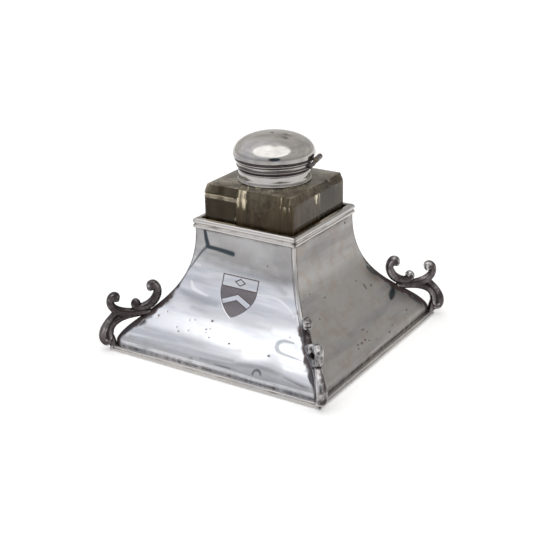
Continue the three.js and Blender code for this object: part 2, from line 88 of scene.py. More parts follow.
class Signal:
    """An output socket of a shader tree, with the arithmetic that adds Math nodes."""

    def __init__(self, tree, socket):
        self.tree = tree
        self.socket = socket

    def feed(self, socket, value):
        if isinstance(value, Signal):
            self.tree.links.new(value.socket, socket)
        else:
            socket.default_value = value

    def node(self, kind, settings, inputs, output=0):
        """Adds a node: its settings first, then its inputs by name or number."""
        made = self.tree.nodes.new("ShaderNode" + kind)
        for key, value in settings.items():
            setattr(made, key, value)
        for key, value in inputs.items():
            self.feed(made.inputs[key], value)
        return Signal(self.tree, made.outputs[output])

    def maths(self, operation, *values):
        return self.node("Math", {"operation": operation}, dict(enumerate(values)))

    def __add__(self, other):
        return self.maths("ADD", self, other)

    def __sub__(self, other):
        return self.maths("SUBTRACT", self, other)

    def __mul__(self, other):
        return self.maths("MULTIPLY", self, other)

    def __radd__(self, other):
        return self.maths("ADD", other, self)

    def __rsub__(self, other):
        return self.maths("SUBTRACT", other, self)

    def __rmul__(self, other):
        return self.maths("MULTIPLY", other, self)

    def least(self, other):
        return self.maths("MINIMUM", self, other)

    def most(self, other):
        return self.maths("MAXIMUM", self, other)

    def between(self, low, high, to_low=0.0, to_high=1.0):
        """A soft step from one value to another, held at both ends."""
        settings = {"interpolation_type": "SMOOTHSTEP"}
        values = {0: self, 1: low, 2: high, 3: to_low, 4: to_high}
        return self.node("MapRange", settings, values)

    def tint(self, first, second):
        """The first colour where this is 0 and the second where it is 1."""
        values = {0: self, 6: rgba(first), 7: rgba(second)}
        return self.node("Mix", {"data_type": "RGBA"}, values, 2)

    def part(self, axis):
        return self.node("SeparateXYZ", {}, {0: self}, "XYZ".index(axis))

    def noise(self, scale, detail=4.0, roughness=0.55, stretch=(1, 1, 1)):
        """Cloudy values about 0.5. scale is in features to the metre."""
        squeezed = self.node("VectorMath", {"operation": "MULTIPLY"}, {0: self, 1: stretch})
        values = {"Vector": squeezed, "Scale": scale, "Detail": detail, "Roughness": roughness}
        return self.node("TexNoise", {}, values)

    def attribute(self, name):
        return self.node("Attribute", {"attribute_name": name}, {}, "Fac")

    def bump(self, strength, depth):
        """A bump as high as this value says, for a Normal socket. depth is in metres."""
        values = {"Strength": strength, "Distance": depth, "Height": self}
        return self.node("Bump", {}, values)


def rgba(colour):
    return colour if isinstance(colour, Signal) else (*colour, 1.0)


WALLS = (0.64, 0.625, 0.605)
WINDOW = (0.86, 0.865, 0.90)
LIGHT_BOX = (1.75, 1.75, 1.74)
DARK_CORNER = (0.05, 0.07, 0.10)
TOWARDS_WINDOW = (-0.50, -0.42, 0.757)
TOWARDS_DARK = (0.505, -0.791, 0.345)
TOWARDS_BOX = (0.05, -0.25, 0.967)
world = bpy.data.worlds.new("room")
bpy.context.scene.world = world
world.use_nodes = True
sky = world.node_tree.nodes["Background"]
coordinates = world.node_tree.nodes.new("ShaderNodeTexCoord")
bearing = Signal(world.node_tree, coordinates.outputs["Generated"])


def towards(way):
    """How closely a bearing points a way: 1 when it does, 0 when it's square to it."""
    return bearing.node("VectorMath", {"operation": "DOT_PRODUCT"}, {0: bearing, 1: way}, "Value")


curtain = bearing.noise(3.0, 3.0, 0.5, (1, 1, 2.5)).between(0.3, 0.7, 0.80, 1.08)
walls = towards(TOWARDS_WINDOW).between(0.35, 0.85).tint(WALLS, WINDOW)
walls = towards(TOWARDS_DARK).between(0.955, 0.975).tint(walls, DARK_CORNER)
walls = towards(TOWARDS_BOX).between(0.77, 0.84).tint(walls, LIGHT_BOX)
lit = bearing.node("VectorMath", {"operation": "SCALE"}, {0: walls, "Scale": curtain})
# Only reflections and light see the room: straight behind the floor it is plain white.
seen_directly = bearing.node("LightPath", {}, {}, "Is Camera Ray")
bearing.feed(sky.inputs["Color"], seen_directly.tint(lit, (1.0, 1.0, 1.0)))

floor_mesh = bpy.data.meshes.new("floor")
FLOOR = 20  # metres from the middle to each side
corners = [(-FLOOR, -FLOOR, 0), (FLOOR, -FLOOR, 0), (FLOOR, FLOOR, 0), (-FLOOR, FLOOR, 0)]
floor_mesh.from_pydata(corners, [], [(0, 1, 2, 3)])
floor = bpy.data.objects.new("floor", floor_mesh)
bpy.context.scene.collection.objects.link(floor)


def new_finish(name, constants):
    """A material's Principled shader with its constant values, and a signal of the place."""
    made = bpy.data.materials.new(name)
    made.use_nodes = True
    shader = made.node_tree.nodes["Principled BSDF"]
    for socket, value in constants.items():
        shader.inputs[socket].default_value = value
    place = made.node_tree.nodes.new("ShaderNodeTexCoord").outputs["Object"]
    return made, shader.inputs, Signal(made.node_tree, place)


def feed_each(inputs, signals):
    """Feeds each named socket of a shader from its own signal."""
    for socket, signal in signals.items():
        signal.feed(inputs[socket], signal)


paper, inputs, place = new_finish("pale_paper", {"Roughness": 0.9, "Emission Strength": 0.22})
white = place.noise(9).tint((0.93, 0.93, 0.93), (0.95, 0.95, 0.95))
glow = place.noise(5).tint((0.99, 0.99, 0.99), (1.0, 1.0, 1.0))
feed_each(inputs, {"Base Color": white, "Emission Color": glow})
floor_mesh.materials.append(paper)


# ---- Panels ----
# Four flared panels of silver-plated sheet, mitred and soldered at the corners. The front one
# is brightest and engraved with a shield; the others are duller, the right one with darker
# colours as painted shade. Corners are rolled over.
front_lo, front_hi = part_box("panel_front")
rim_lo, rim_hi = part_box("rim_moulding_front")
RIM_LEDGE = 1 * MM  # of the rim moulding past the panels
SHEET = 0.8 * MM
SOLDER = 0.25 * MM  # fills the gaps between the panels and the wires
SHOULDER_RISE = 4.1 * MM
SHOULDER_SET_IN = 0.6 * MM
PANEL_TOP = Vector((-rim_lo.y - RIM_LEDGE, front_hi.z))
PANEL_FOOT = Vector((-front_lo.y, front_lo.z))


def bezier(points, steps):
    """Points on the Bezier curve of three or four control points."""
    t = np.linspace(0, 1, steps)[:, None]
    layer = [np.array(point, float)[None, :] for point in points]
    while len(layer) > 1:
        layer = [a * (1 - t) + b * t for a, b in zip(layer, layer[1:])]
    return layer[0]


def panel_face():
    """The outline of the face from rim to foot: half widths, heights and lengths along it."""
    shoulder = Vector((PANEL_FOOT.x - SHOULDER_SET_IN, PANEL_FOOT.y + SHOULDER_RISE))
    fall = PANEL_TOP.y - shoulder.y
    widening = shoulder.x - PANEL_TOP.x
    ogee = bezier(
        [
            PANEL_TOP,
            (PANEL_TOP.x, PANEL_TOP.y - 0.68 * fall),
            (shoulder.x - 0.2 * widening, shoulder.y + 0.23 * fall),
            shoulder,
        ],
        300,
    )
    rounding = bezier(
        [
            shoulder,
            (PANEL_FOOT.x, shoulder.y - 0.3 * SHOULDER_RISE),
            (PANEL_FOOT.x, shoulder.y - 0.6 * SHOULDER_RISE),
        ],
        30,
    )
    line = np.vstack([ogee, rounding[1:], [PANEL_FOOT]])
    along = np.concatenate([[0], np.cumsum(np.hypot(*np.diff(line, axis=0).T))])
    return line[:, 0], line[:, 1], along


FACE_HALF, FACE_Z, FACE_ALONG = panel_face()


def face_at(along):
    """Half width, height and outward direction of the face at lengths from the rim."""
    half = np.interp(along, FACE_ALONG, FACE_HALF)
    z = np.interp(along, FACE_ALONG, FACE_Z)
    step = 0.3 * MM
    before = np.clip(along - step, 0, FACE_ALONG[-1])
    after = np.clip(along + step, 0, FACE_ALONG[-1])
    out = np.interp(after, FACE_ALONG, FACE_HALF) - np.interp(before, FACE_ALONG, FACE_HALF)
    down = np.interp(before, FACE_ALONG, FACE_Z) - np.interp(after, FACE_ALONG, FACE_Z)
    length = np.hypot(out, down)
    return half, z, down / length, out / length


def half_width_at(z):
    """Half the stand's width at a height."""
    return np.interp(z, FACE_Z[::-1], FACE_HALF[::-1])


def cloud(x, y, z, size, seed):
    """Smooth noise from -1 to 1 at points, with features of about a size."""
    points = np.stack(np.broadcast_arrays(x, y, z), -1) / size + seed
    flat = points.reshape(-1, 3)
    values = [noise.noise(Vector(point)) for point in flat]
    return np.array(values).reshape(points.shape[:-1])


def solid_sheet(outer, inner):
    """Vertices and faces of a closed sheet between two grids of points."""
    rows, columns = outer.shape[:2]
    number = np.arange(rows * columns).reshape(rows, columns)
    quads = np.stack([number[:-1, :-1], number[1:, :-1], number[1:, 1:], number[:-1, 1:]], -1)
    faces = quads.reshape(-1, 4).tolist()
    back = (quads[..., ::-1] + rows * columns).reshape(-1, 4).tolist()
    rim = np.concatenate([number[0, :-1], number[:-1, -1], number[-1, :0:-1], number[:0:-1, 0]])
    around = [
        (a, b, b + rows * columns, a + rows * columns)
        for a, b in zip(rim.tolist(), np.roll(rim, -1).tolist())
    ]
    points = np.concatenate([outer.reshape(-1, 3), inner.reshape(-1, 3)])
    return points, faces + back + around


def build(name, points, faces, body, nodes, material, sharp=40, masks=None):
    """Makes a closed piece from points in the part's frame, hangs it on its body and hides the
    parts it replaces.
    """
    mesh = bpy.data.meshes.new(name)
    mesh.from_pydata([tuple(point) for point in points], [], faces)
    for mask, values in (masks or {}).items():
        layer = mesh.attributes.new(mask, "FLOAT", "POINT")
        layer.data.foreach_set("value", values.astype(np.float32))
    work = bmesh.new()
    work.from_mesh(mesh)
    bmesh.ops.remove_doubles(work, verts=work.verts, dist=1e-6)
    bmesh.ops.recalc_face_normals(work, faces=work.faces)
    work.to_mesh(mesh)
    work.free()
    mesh.shade_smooth()
    mesh.set_sharp_from_angle(angle=math.radians(sharp))
    mesh.materials.append(material)
    made = bpy.data.objects.new(name, mesh)
    bpy.context.scene.collection.objects.link(made)
    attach(made, body)
    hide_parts(*nodes)
    return made


SHIELD_TOP = 22.0 * MM  # along the face from the rim
SHIELD_HEIGHT = 23.5 * MM
SHIELD_HALF = 11.8 * MM
HATCH = 0.62 * MM
ENGRAVED_LINE = 0.6 * MM
ENGRAVED_DEPTH = 0.12 * MM


def engraved_shield(x, along):
    """How deep the shield is cut, from 0 to 1: an outline, a plain chief with a lozenge, and
    a hatched field with a plain chevron."""
    down = (along - SHIELD_TOP) / SHIELD_HEIGHT
    lower = np.clip((down - 0.34) / 0.66, 0, 1)
    half = SHIELD_HALF * np.cos(lower * math.pi / 2) ** 0.72
    side = half - np.abs(x)
    top = along - SHIELD_TOP
    inside = np.minimum(side, top)
    line = lambda distance, width: np.clip(1.6 - 2 * np.abs(distance) / width, 0, 1)
    outline = line(inside - ENGRAVED_LINE / 2, ENGRAVED_LINE)
    outline *= (down < 1.02) * (inside > -ENGRAVED_LINE)
    chief = (down - 0.29) * SHIELD_HEIGHT
    chevron = (down - 0.50 - 0.22 * np.abs(x) / SHIELD_HALF) * SHIELD_HEIGHT
    band = 0.075 * SHIELD_HEIGHT
    field = (inside > ENGRAVED_LINE) & (chief > 0) & (np.abs(chevron) > band)
    hatched = (0.84 + 0.16 * np.cos(2 * math.pi * along / HATCH)) * field
    within = inside > 0
    borders = line(chief, ENGRAVED_LINE) + line(np.abs(chevron) - band, ENGRAVED_LINE) * (chief > 0)
    lozenge = np.abs(x) / 3.2 + np.abs(along - SHIELD_TOP - 3.4 * MM) / 1.9
    device = line((lozenge - MM) * 1.6, ENGRAVED_LINE)
    return np.clip(np.maximum.reduce([outline, hatched, borders * within, device * within]), 0, 1)


def spread(low, high, step):
    """Even values from low to high, about a step apart."""
    return np.linspace(low, high, max(2, int(round((high - low) / step)) + 1))


# Marks on the panels, all in mm, across and down along the face from the rim.
DENTS = {  # across, along, radius, depth
    "front": [(29, 69, 15, 0.35), (42, 55, 7, 0.12), (-30, 34, 16, 0.25), (8, 60, 20, 0.2)],
    "right": [(-38, 52, 12, 0.3), (20, 24, 18, 0.25), (-5, 64, 16, 0.3)],
    "back": [(10, 54, 15, 0.35), (-25, 29, 14, 0.25)],
    "left": [(-12, 46, 14, 0.3), (30, 62, 12, 0.4)],
}
PITS = {  # across, along, radius across, radius along
    "front": [
        (-10.2, 50.0, 0.9, 0.7), (-11.7, 55.6, 0.5, 0.5), (-11.1, 57.4, 0.5, 0.4),
        (-9.4, 54.8, 0.4, 0.4), (-7.8, 59.7, 0.6, 0.4), (-22.2, 58.9, 0.5, 0.5),
        (-28.2, 60.8, 0.8, 0.5), (-30.2, 58.6, 0.5, 0.4), (-21.1, 51.9, 0.6, 0.4),
        (5.8, 60.2, 0.6, 0.5), (39.4, 48.0, 0.5, 0.5), (31.7, 61.1, 1.0, 0.7),
        (-45.0, 54.8, 0.7, 0.9), (-40.6, 51.1, 0.5, 0.4), (-24.4, 52.8, 0.4, 0.4),
        (16.0, 13.0, 0.4, 0.5),
    ],
    "right": [
        (-17.2, 68.6, 0.7, 0.5), (-15.6, 66.7, 0.8, 0.6), (-11.7, 67.2, 1.0, 0.7),
        (-7.0, 67.0, 1.0, 0.6), (-4.4, 68.6, 0.6, 0.5), (-3.3, 61.7, 1.2, 0.6),
        (-1.3, 64.2, 0.6, 0.4), (24.2, 42.8, 0.7, 2.0), (30.0, 44.2, 0.9, 0.7),
        (-26.1, 28.3, 0.6, 0.6), (-28.3, 42.8, 0.5, 0.6), (16.7, 72.2, 1.1, 0.6),
        (42.8, 68.3, 0.8, 0.6), (41.0, 70.3, 0.6, 0.4), (22.8, 2.4, 0.8, 0.9),
        (19.8, 37.2, 0.6, 0.5), (-34.0, 30.0, 0.4, 0.5), (2.0, 70.5, 0.5, 0.4),
        (22.0, 70.0, 0.8, 0.4), (-14.5, 34.8, 0.7, 0.4),
    ],
    "back": [
        (-20, 40, 0.8, 0.6), (14, 62, 1.0, 0.7), (17, 64, 0.6, 0.6), (-6, 22, 0.5, 0.5),
        (30, 50, 0.7, 1.2),
    ],
    "left": [
        (22, 58, 0.9, 0.6), (-15, 66, 0.8, 0.5), (-12, 64, 0.6, 0.6), (6, 30, 0.5, 0.7),
        (-33, 48, 0.8, 0.8),
    ],
}
DARK_REFLECTION_STROKES = {  # strokes of painted dark reflection, of the rests and the room: across, along, half width at each point, then strength
    "front": [
        ([(-25.8, 0.4, 1.0), (-24.9, 5, 1.3), (-23.6, 9, 1.4)], 1.0),
        ([(-24.4, 9.2, 1.1), (-16, 9.6, 1.2), (-7.0, 10.4, 1.4)], 1.0),
        ([(-24.4, 9.4, 1.0), (-27.4, 12.4, 0.7), (-31, 17.6, 0.5), (-36.0, 25.5, 0.3)], 0.7),
        (
            [(43, 50.8, 0.4), (37.5, 50.8, 0.9), (34.4, 52.6, 1.3), (34.4, 55.4, 1.3),
             (37.4, 57.6, 0.9), (44, 58.4, 0.6), (51, 59, 0.3)],
            0.5,
        ),
        (
            [(25.9, 73.2, 0.5), (26.6, 71.0, 0.6), (28.3, 70.2, 0.7), (30.2, 71.0, 0.6),
             (30.8, 72.4, 0.4)],
            0.75,
        ),
        (
            [(-15, 74.6, 0.2), (-14.6, 73.4, 0.2), (-13.4, 73.4, 0.2), (-13.2, 75.6, 0.2),
             (-14.6, 75.8, 0.2)],
            0.6,
        ),
        ([(1.1, 73.1, 0.2), (11.7, 73.2, 0.3)], 0.8),
        (
            [(-8, 72.2, 0.6), (10, 71.0, 0.8), (20, 69.0, 1.0), (28, 68.0, 1.0), (36, 68.4, 1.0),
             (46, 69.8, 0.8), (60, 72.4, 0.6)],
            0.29,
        ),
        ([(-53, 75.0, 0.2), (-42, 74.6, 0.2)], 0.4),
        ([(-58, 70.6, 0.6), (-34, 69.8, 1.2), (-6, 70.0, 1.2), (12, 69.0, 0.8)], 0.29),
        ([(-50, 63.4, 0.8), (-20, 63.0, 1.6), (4, 63.8, 1.4), (14, 62.6, 0.8)], 0.2),
        ([(-26, 45.4, 1.0), (-2, 47.6, 1.8), (26, 46.6, 1.0)], 0.2),
        ([(-38, 36.6, 1.0), (-26, 39.8, 1.8), (-12, 40.4, 1.2)], 0.24),
        ([(-24, 17.0, 1.4), (0, 20.2, 2.0), (18, 21.4, 1.8), (29, 25.4, 1.2)], 0.26),
        ([(45, 70.2, 0.3), (58, 72.4, 0.4)], 0.5),
    ],
    "right": [
        ([(36.4, 34.2, 1.3), (38.2, 37.2, 1.7), (41.4, 41.0, 1.0)], 0.75),
        ([(54, 63, 0.9), (57, 67, 1.4), (60, 71, 0.7)], 0.7),
        ([(37.2, 57.4, 1.0), (40.4, 56.0, 2.0), (44.0, 54.6, 1.8), (49.5, 51.4, 1.2)], 0.95),
        ([(-60, 74.6, 0.3), (0, 74.0, 0.4), (60, 74.6, 0.3)], 0.28),
    ],
    "back": [([(20, 8, 1.2), (28, 9, 1.0), (31, 14, 0.4)], 0.5)],
    "left": [([(-22, 12, 1.4), (-9, 13, 1.1)], 0.5)],
}
HIGHLIGHT_STREAKS = {  # painted highlights, bright streaks of reflected light: as above
    "front": [
        ([(-32, 31, 0.8), (-30, 34, 1.2), (-26, 35.6, 0.9), (-19, 36.8, 0.4)], 1.0),
        ([(12, 29.6, 0.5), (20, 29.2, 0.8), (26, 29.8, 0.9), (33, 33, 0.6), (38, 37, 0.4)], 0.9),
        ([(-31, 20.6, 0.9), (-28, 20.8, 0.6)], 1.0),
        (
            [(-56, 69.2, 0.6), (-30, 68.2, 0.9), (0, 67.8, 1.0), (16, 66.4, 1.2),
             (28, 63.6, 1.2), (48, 66.0, 0.7)],
            0.55,
        ),
    ],
    "right": [
        ([(-50, 76.4, 0.4), (0, 75.8, 0.5), (52, 76.2, 0.4)], 0.35),
        ([(39.2, 56.6, 0.6), (41.2, 55.8, 0.8)], 1.0),
    ],
    "back": [([(-40, 66, 0.6), (0, 65, 0.6), (42, 66, 0.5)], 0.5)],
    "left": [([(-40, 66, 0.6), (0, 66, 0.6), (42, 67, 0.5)], 0.7)],
}
BEVELS = {"front": (0.7 * MM, 1.65 * MM), "right": (1.65 * MM, 0.7 * MM)}  # worn corners
BEVEL = 0.7 * MM  # on the other corners
# How far tarnish and the pen rests' painted reflection and shadow reach along each corner, left of
# the middle then right.
RIDGE_TARNISH_AND_SHADE = {"front": (1.0, 0.75), "right": (0.3, 1.25), "back": (0.7, 0.8), "left": (0.8, 0.9)}
SEAM = 0.16 * MM  # depth of the soldered seams beside it


def through(points, steps):
    """A smooth curve through the points, with a number of steps between each two."""
    points = np.array(points, float)
    before = np.vstack([2 * points[:1] - points[1:2], points[:-1]])[:-1]
    after = np.vstack([points[1:], 2 * points[-1:] - points[-2:-1]])[1:]
    first, second = points[:-1], points[1:]
    curve = []
    for t in np.arange(steps) / steps:
        curve.append(
            0.5 * (
                2 * first + (second - before) * t
                + (2 * before - 5 * first + 4 * second - after) * t**2
                + (3 * first - before - 3 * second + after) * t**3
            )
        )
    return np.vstack([np.stack(curve, 1).reshape(-1, points.shape[1]), points[-1:]])


FAINT = 0.3  # strokes weaker than this have no edge


def strokes(x, along, paths):
    """A mask of soft strokes along paths of (across, along, half width), with strengths."""
    mask = np.zeros(np.broadcast(x, along).shape)
    for path, strength in paths:
        path = through(path, 5) if len(path) > 2 else path
        for (x0, a0, w0), (x1, a1, w1) in zip(path, path[1:]):
            run = np.array([x1 - x0, a1 - a0]) * MM
            t = ((x - x0 * MM) * run[0] + (along - a0 * MM) * run[1]) / (run @ run)
            t = np.clip(t, 0, 1)
            away = np.hypot(x - x0 * MM - run[0] * t, along - a0 * MM - run[1] * t)
            width = (w0 + (w1 - w0) * t) * MM
            if strength < FAINT:
                soft = np.exp(-((away / (1.4 * width)) ** 2))
            else:
                soft = np.clip(1.9 - 1.4 * away / width, 0, 1)
            mask = np.maximum(mask, strength * soft)
    return mask


def spots(x, along, places):
    """A mask of small rough spots at places of (across, along, radius across, radius along)."""
    mask = np.zeros(np.broadcast(x, along).shape)
    for across, down, wide, tall in places:
        away = np.hypot((x - across * MM) / wide, (along - down * MM) / tall) / MM
        speckled = 0.48 * np.exp(-((away / 3.5) ** 2))
        mask = np.maximum(mask, np.clip(1.5 - 1.1 * away, 0, 1) + speckled)
    return np.clip(mask, 0, 1)


def panel_grid(side, seed):
    """The outside and inside of a panel as grids of points on the front side, with masks."""
    fine = side in ("front", "right")
    middle = 12.9 * MM
    cell = 0.21 * MM if side == "front" else 0.5 * MM if fine else 1.2 * MM
    wide = 0.5 * MM if fine else 1.2 * MM
    columns = spread(-middle, middle, cell)
    outward = np.linspace(0, 1, int((PANEL_FOOT.x - middle) / wide))[1:]
    cut_top, cut_foot = SHIELD_TOP - 1 * MM, SHIELD_TOP + SHIELD_HEIGHT + 1 * MM
    along = np.concatenate(
        [
            spread(0, cut_top, wide)[:-1],
            spread(cut_top, cut_foot, cell),
            spread(cut_foot, FACE_ALONG[-1], wide)[1:],
        ]
    )
    half, z, forward, upward = face_at(along)
    plain = np.zeros((len(along), len(columns)))
    sides = []
    for bevel in BEVELS.get(side, (BEVEL, BEVEL)):
        straight = half - bevel
        wing = middle + (straight[:, None] - middle) * outward[None, :]
        part = np.linspace(0, 1, 6)[1:]
        bevel_x = straight[:, None] + bevel / 2 * part[None, :]
        soft = (np.sqrt(part**2 + 0.04) - 0.2) / (math.sqrt(1.04) - 0.2)
        sunk = np.hstack([np.zeros_like(wing), np.broadcast_to(bevel / 2 * soft, bevel_x.shape)])
        sides.append((np.hstack([wing, bevel_x]), sunk, np.full_like(sunk, bevel)))
    x = np.hstack([-sides[0][0][:, ::-1], plain + columns, sides[1][0]])
    drop = np.hstack([sides[0][1][:, ::-1], plain, sides[1][1]])
    bevel = np.hstack([sides[0][2][:, ::-1], plain + BEVEL, sides[1][2]])
    length = np.broadcast_to(along[:, None], x.shape)
    from_ridge = half[:, None] - np.abs(x)
    push = 0.085 * MM * cloud(x, 0, length, 24 * MM, seed)
    push += 0.030 * MM * cloud(x * 0.35, 0, length, 6 * MM, seed + 7)
    for across, down, radius, depth in DENTS[side]:
        away = np.hypot(x - across * MM, length - down * MM) / (radius * MM)
        push -= depth * MM * np.clip(1 - away**2, 0, 1) ** 2
    edge = np.clip(np.minimum(length, FACE_ALONG[-1] - length) / (4 * MM), 0, 1)
    push *= edge * np.clip((from_ridge - bevel) / (6 * MM), 0, 1)
    z[0] += SOLDER
    z[-1] -= SOLDER
    seam = np.exp(-(((from_ridge - bevel - 0.25 * MM) / (0.32 * MM)) ** 2))
    seam *= np.clip(0.75 + 0.6 * cloud(x, 0, length, 5 * MM, seed + 9), 0, 1)
    # The wider bevels are painted pale, along with the painted highlights.
    pale_bevel = (from_ridge < bevel) * (bevel > BEVEL) * 0.4
    pits = spots(x, length, PITS[side])
    cut = engraved_shield(x, length) if side == "front" else np.zeros_like(x)
    push -= SEAM * seam + ENGRAVED_DEPTH * cut + 0.02 * MM * pits
    forward = forward[:, None]
    upward = upward[:, None]
    points = np.stack([x, -(half[:, None] - drop) - push * forward, z[:, None] + push * upward], -1)
    inner_x = x * (1 - SHEET * forward / half[:, None])
    inner_y = SHEET * forward - (half[:, None] - drop)
    inner_z = np.broadcast_to(z[:, None] - SHEET * upward, x.shape)
    inner = np.stack([inner_x, inner_y, inner_z], -1)
    inner[0, :, 2] = z[0]
    inner[-1, :, 2] = z[-1]
    masks = {
        "engraving": cut,
        "seam": seam,
        "pits": pits,
        "tarnish_and_shade": panel_tarnish_and_shade(side, x, length, from_ridge, z[:, None], seed),
        "dark_reflection_strokes": strokes(x, length, DARK_REFLECTION_STROKES[side]),
        "painted_highlight": np.maximum(strokes(x, length, HIGHLIGHT_STREAKS[side]), pale_bevel),
        "painted_dark_reflection": panel_dark_reflection(x, length, seed),
    }
    return points, inner, masks


def panel_tarnish_and_shade(side, x, length, from_ridge, z, seed):
    """Where the plate darkens: beside the pen rests with tarnish and the rests' painted reflection
    and shadow, just under the rim, along the foot with a painted contact shadow and brown patches,
    and in tarnish specks.
    """
    patchy = 0.5 + 0.5 * cloud(x, 3 * MM, length, 6 * MM, seed + 3)
    ragged = 0.5 + 0.5 * cloud(x, 1 * MM, length, 2.2 * MM, seed + 13)
    amount = np.where(x < 0, *RIDGE_TARNISH_AND_SHADE[side])
    beside_rest = np.exp(-(((z - 19 * MM) / (17 * MM)) ** 2))
    reach = (0.9 + 5.0 * beside_rest * amount * (0.35 + 0.5 * patchy + 0.5 * ragged)) * MM
    # Beside the pen rests the corners darken with tarnish and with the rests' painted reflection
    # and shadow.
    ridge = np.exp(-((np.clip(from_ridge, 0, None) / reach) ** 4))
    ridge *= (0.2 + beside_rest) * 1.3 * amount**0.5
    # Darker just under the rim.
    rim = 0.5 * np.exp(-length / (1.2 * MM)) * (0.3 + 1.2 * patchy)
    from_foot = FACE_ALONG[-1] - length
    # A painted contact shadow along the foot, with brown patches just above it.
    foot = 0.6 * np.exp(-from_foot / (0.9 * MM)) * (0.1 + 1.3 * ragged)
    foot += 0.30 * np.exp(-(((from_foot - 1.8 * MM) / (1.3 * MM)) ** 2)) * (0.35 + 0.8 * patchy)
    speckle = 0.35 * np.clip(ragged * patchy * 4 - 1.35, 0, 1)
    speckle *= np.clip(1 - from_ridge / (22 * MM), 0, 1)
    return np.clip(ridge * (0.55 + 0.7 * patchy) + rim + foot + speckle * amount, 0, 1)


def panel_dark_reflection(x, length, seed):
    """A painted dark reflection over the upper third of a panel and round its shoulder, wavy edged.
    """
    wavy = 1.6 * MM * cloud(x, 0, length, 15 * MM, seed + 5)
    wavy += 0.9 * MM * cloud(x, 0, length, 5 * MM, seed + 6)
    edge = 18.5 * MM + 0.09 * np.clip(x, -10 * MM, 40 * MM) + wavy
    upper = np.clip((edge + 4 * MM - length) / (8 * MM), 0, 1)
    swell = 3.0 * MM * np.exp(-(((x - 29 * MM) / (13 * MM)) ** 2))
    shoulder = np.clip((length - 69.5 * MM + swell + 0.5 * wavy) / (2.5 * MM), 0, 1)
    shoulder *= np.clip((77 * MM - length) / (3 * MM), 0, 1) * 0.6
    return upper * upper * (3 - 2 * upper) + shoulder


def multiplied(first, second):
    """The first colour times the second."""
    settings = {"data_type": "RGBA", "blend_type": "MULTIPLY"}
    return first.node("Mix", settings, {0: 1.0, 6: first, 7: rgba(second)}, 2)


PLATE_MASKS = ("engraving", "tarnish_and_shade", "seam", "pits", "dark_reflection_strokes", "painted_highlight", "painted_dark_reflection")


def plate_finish(name, clean, dark_reflection_colour, dullness, warmth=(1.0, 0.97, 0.93)):
    """Worn silver plate, clean and darkened in clouds by a painted dark reflection, with painted
    reflection bands, dark reflection strokes and highlights, fine wiping scratches, brown tarnish
    that also paints shade, and small pits where the base metal shows."""
    made, inputs, place = new_finish(name, {"IOR": 1.45})
    clouds = place.noise(38, 5, 0.6).between(0.36, 0.66)
    blotches = place.noise(140, 4, 0.6).between(0.42, 0.72)
    fine = place.noise(420, 5, 0.65)
    scratch = place.noise(900, 3, 0.6, (0.06, 0.5, 1.0))
    cut, tarnish_and_shade, seam, pits, dark_reflection_strokes, painted_highlight, painted_dark_reflection = map(place.attribute, PLATE_MASKS)
    # Painted dark reflection: the colour goes toward the darker one over the upper panels, their
    # shoulders and the lid's lower band.
    colour = (painted_dark_reflection * (0.85 + clouds * 0.2)).least(1.0).tint(clean, dark_reflection_colour)
    colour = (clouds * 0.55).tint(colour, multiplied(colour, (0.90, 0.90, 0.905)))
    colour = (blotches * 0.85).tint(colour, multiplied(colour, warmth))
    # Painted dark reflection in soft horizontal bands, placed at random.
    painted_reflection_bands = place.noise(95, 4, 0.6, (0.16, 0.16, 1.5)).between(0.47, 0.66)
    colour = (painted_reflection_bands * 0.62).tint(colour, multiplied(colour, (0.70, 0.73, 0.77)))
    # Painted highlights: bright streaks of reflected light, near white.
    colour = (painted_highlight * 0.6).tint(colour, (0.97, 0.97, 0.98))
    # Painted dark reflections in blue-black strokes.
    colour = (dark_reflection_strokes * (0.85 + fine * 0.3)).least(0.96).tint(colour, (0.030, 0.044, 0.052))
    # Tarnish colour, which on the panels and the lid also paints shade and shadow.
    dark_cover = (tarnish_and_shade * (0.55 + fine * 0.9)).least(1.0).between(0.10, 0.85)
    tarnish = blotches.tint((0.07, 0.044, 0.042), (0.04, 0.046, 0.055))
    colour = (dark_cover * 0.95).tint(colour, tarnish)
    specks = place.noise(2600, 3, 0.6)
    spot = (pits + specks * 1.9 - 1.55).between(0.0, 0.4)
    colour = (spot * 0.9).tint(colour, (0.085, 0.05, 0.045))
    lines = (cut * 0.97).most(seam * 0.9)
    colour = lines.tint(colour, (0.055, 0.034, 0.038))
    rough = dullness + clouds * 0.05 + (scratch - 0.5) * 0.10 + dark_cover * 0.28
    rough = (rough + spot * 0.3 + cut * 0.25 + painted_dark_reflection * 0.03 + dark_reflection_strokes * 0.08).most(0.05)
    relief = (fine - 0.5) * 0.06 + (scratch - 0.5) * 0.05 - spot * 0.5
    metallic = 1 - (spot * 0.5).most(cut * 0.6).most(dark_cover * 0.3)
    feed_each(inputs, {"Base Color": colour, "Roughness": rough, "Metallic": metallic})
    place.feed(inputs["Normal"], relief.bump(0.3, 0.00012))
    return made


PANEL_FINISHES = {
    "front": plate_finish(
        "bright_plate", (0.78, 0.79, 0.825), (0.32, 0.315, 0.32), 0.11, (1.0, 0.975, 0.95)
    ),
    # The right panel's darker colours are painted shade, for its dimmer reflection.
    "right": plate_finish(
        "shaded_satin_plate", (0.44, 0.43, 0.42), (0.345, 0.33, 0.318), 0.34, (0.94, 0.83, 0.76)
    ),
    "back": plate_finish("dull_plate", (0.54, 0.525, 0.50), (0.42, 0.405, 0.385), 0.28),
    "left": plate_finish("soft_plate", (0.70, 0.695, 0.70), (0.42, 0.41, 0.405), 0.20),
}
SIDES = ["front", "right", "back", "left"]


def quarter_turns(points, turns):
    """The points turned about the upright axis by a number of quarter turns."""
    turn = np.array(Matrix.Rotation(turns * math.pi / 2, 3, "Z"))
    return points @ turn.T


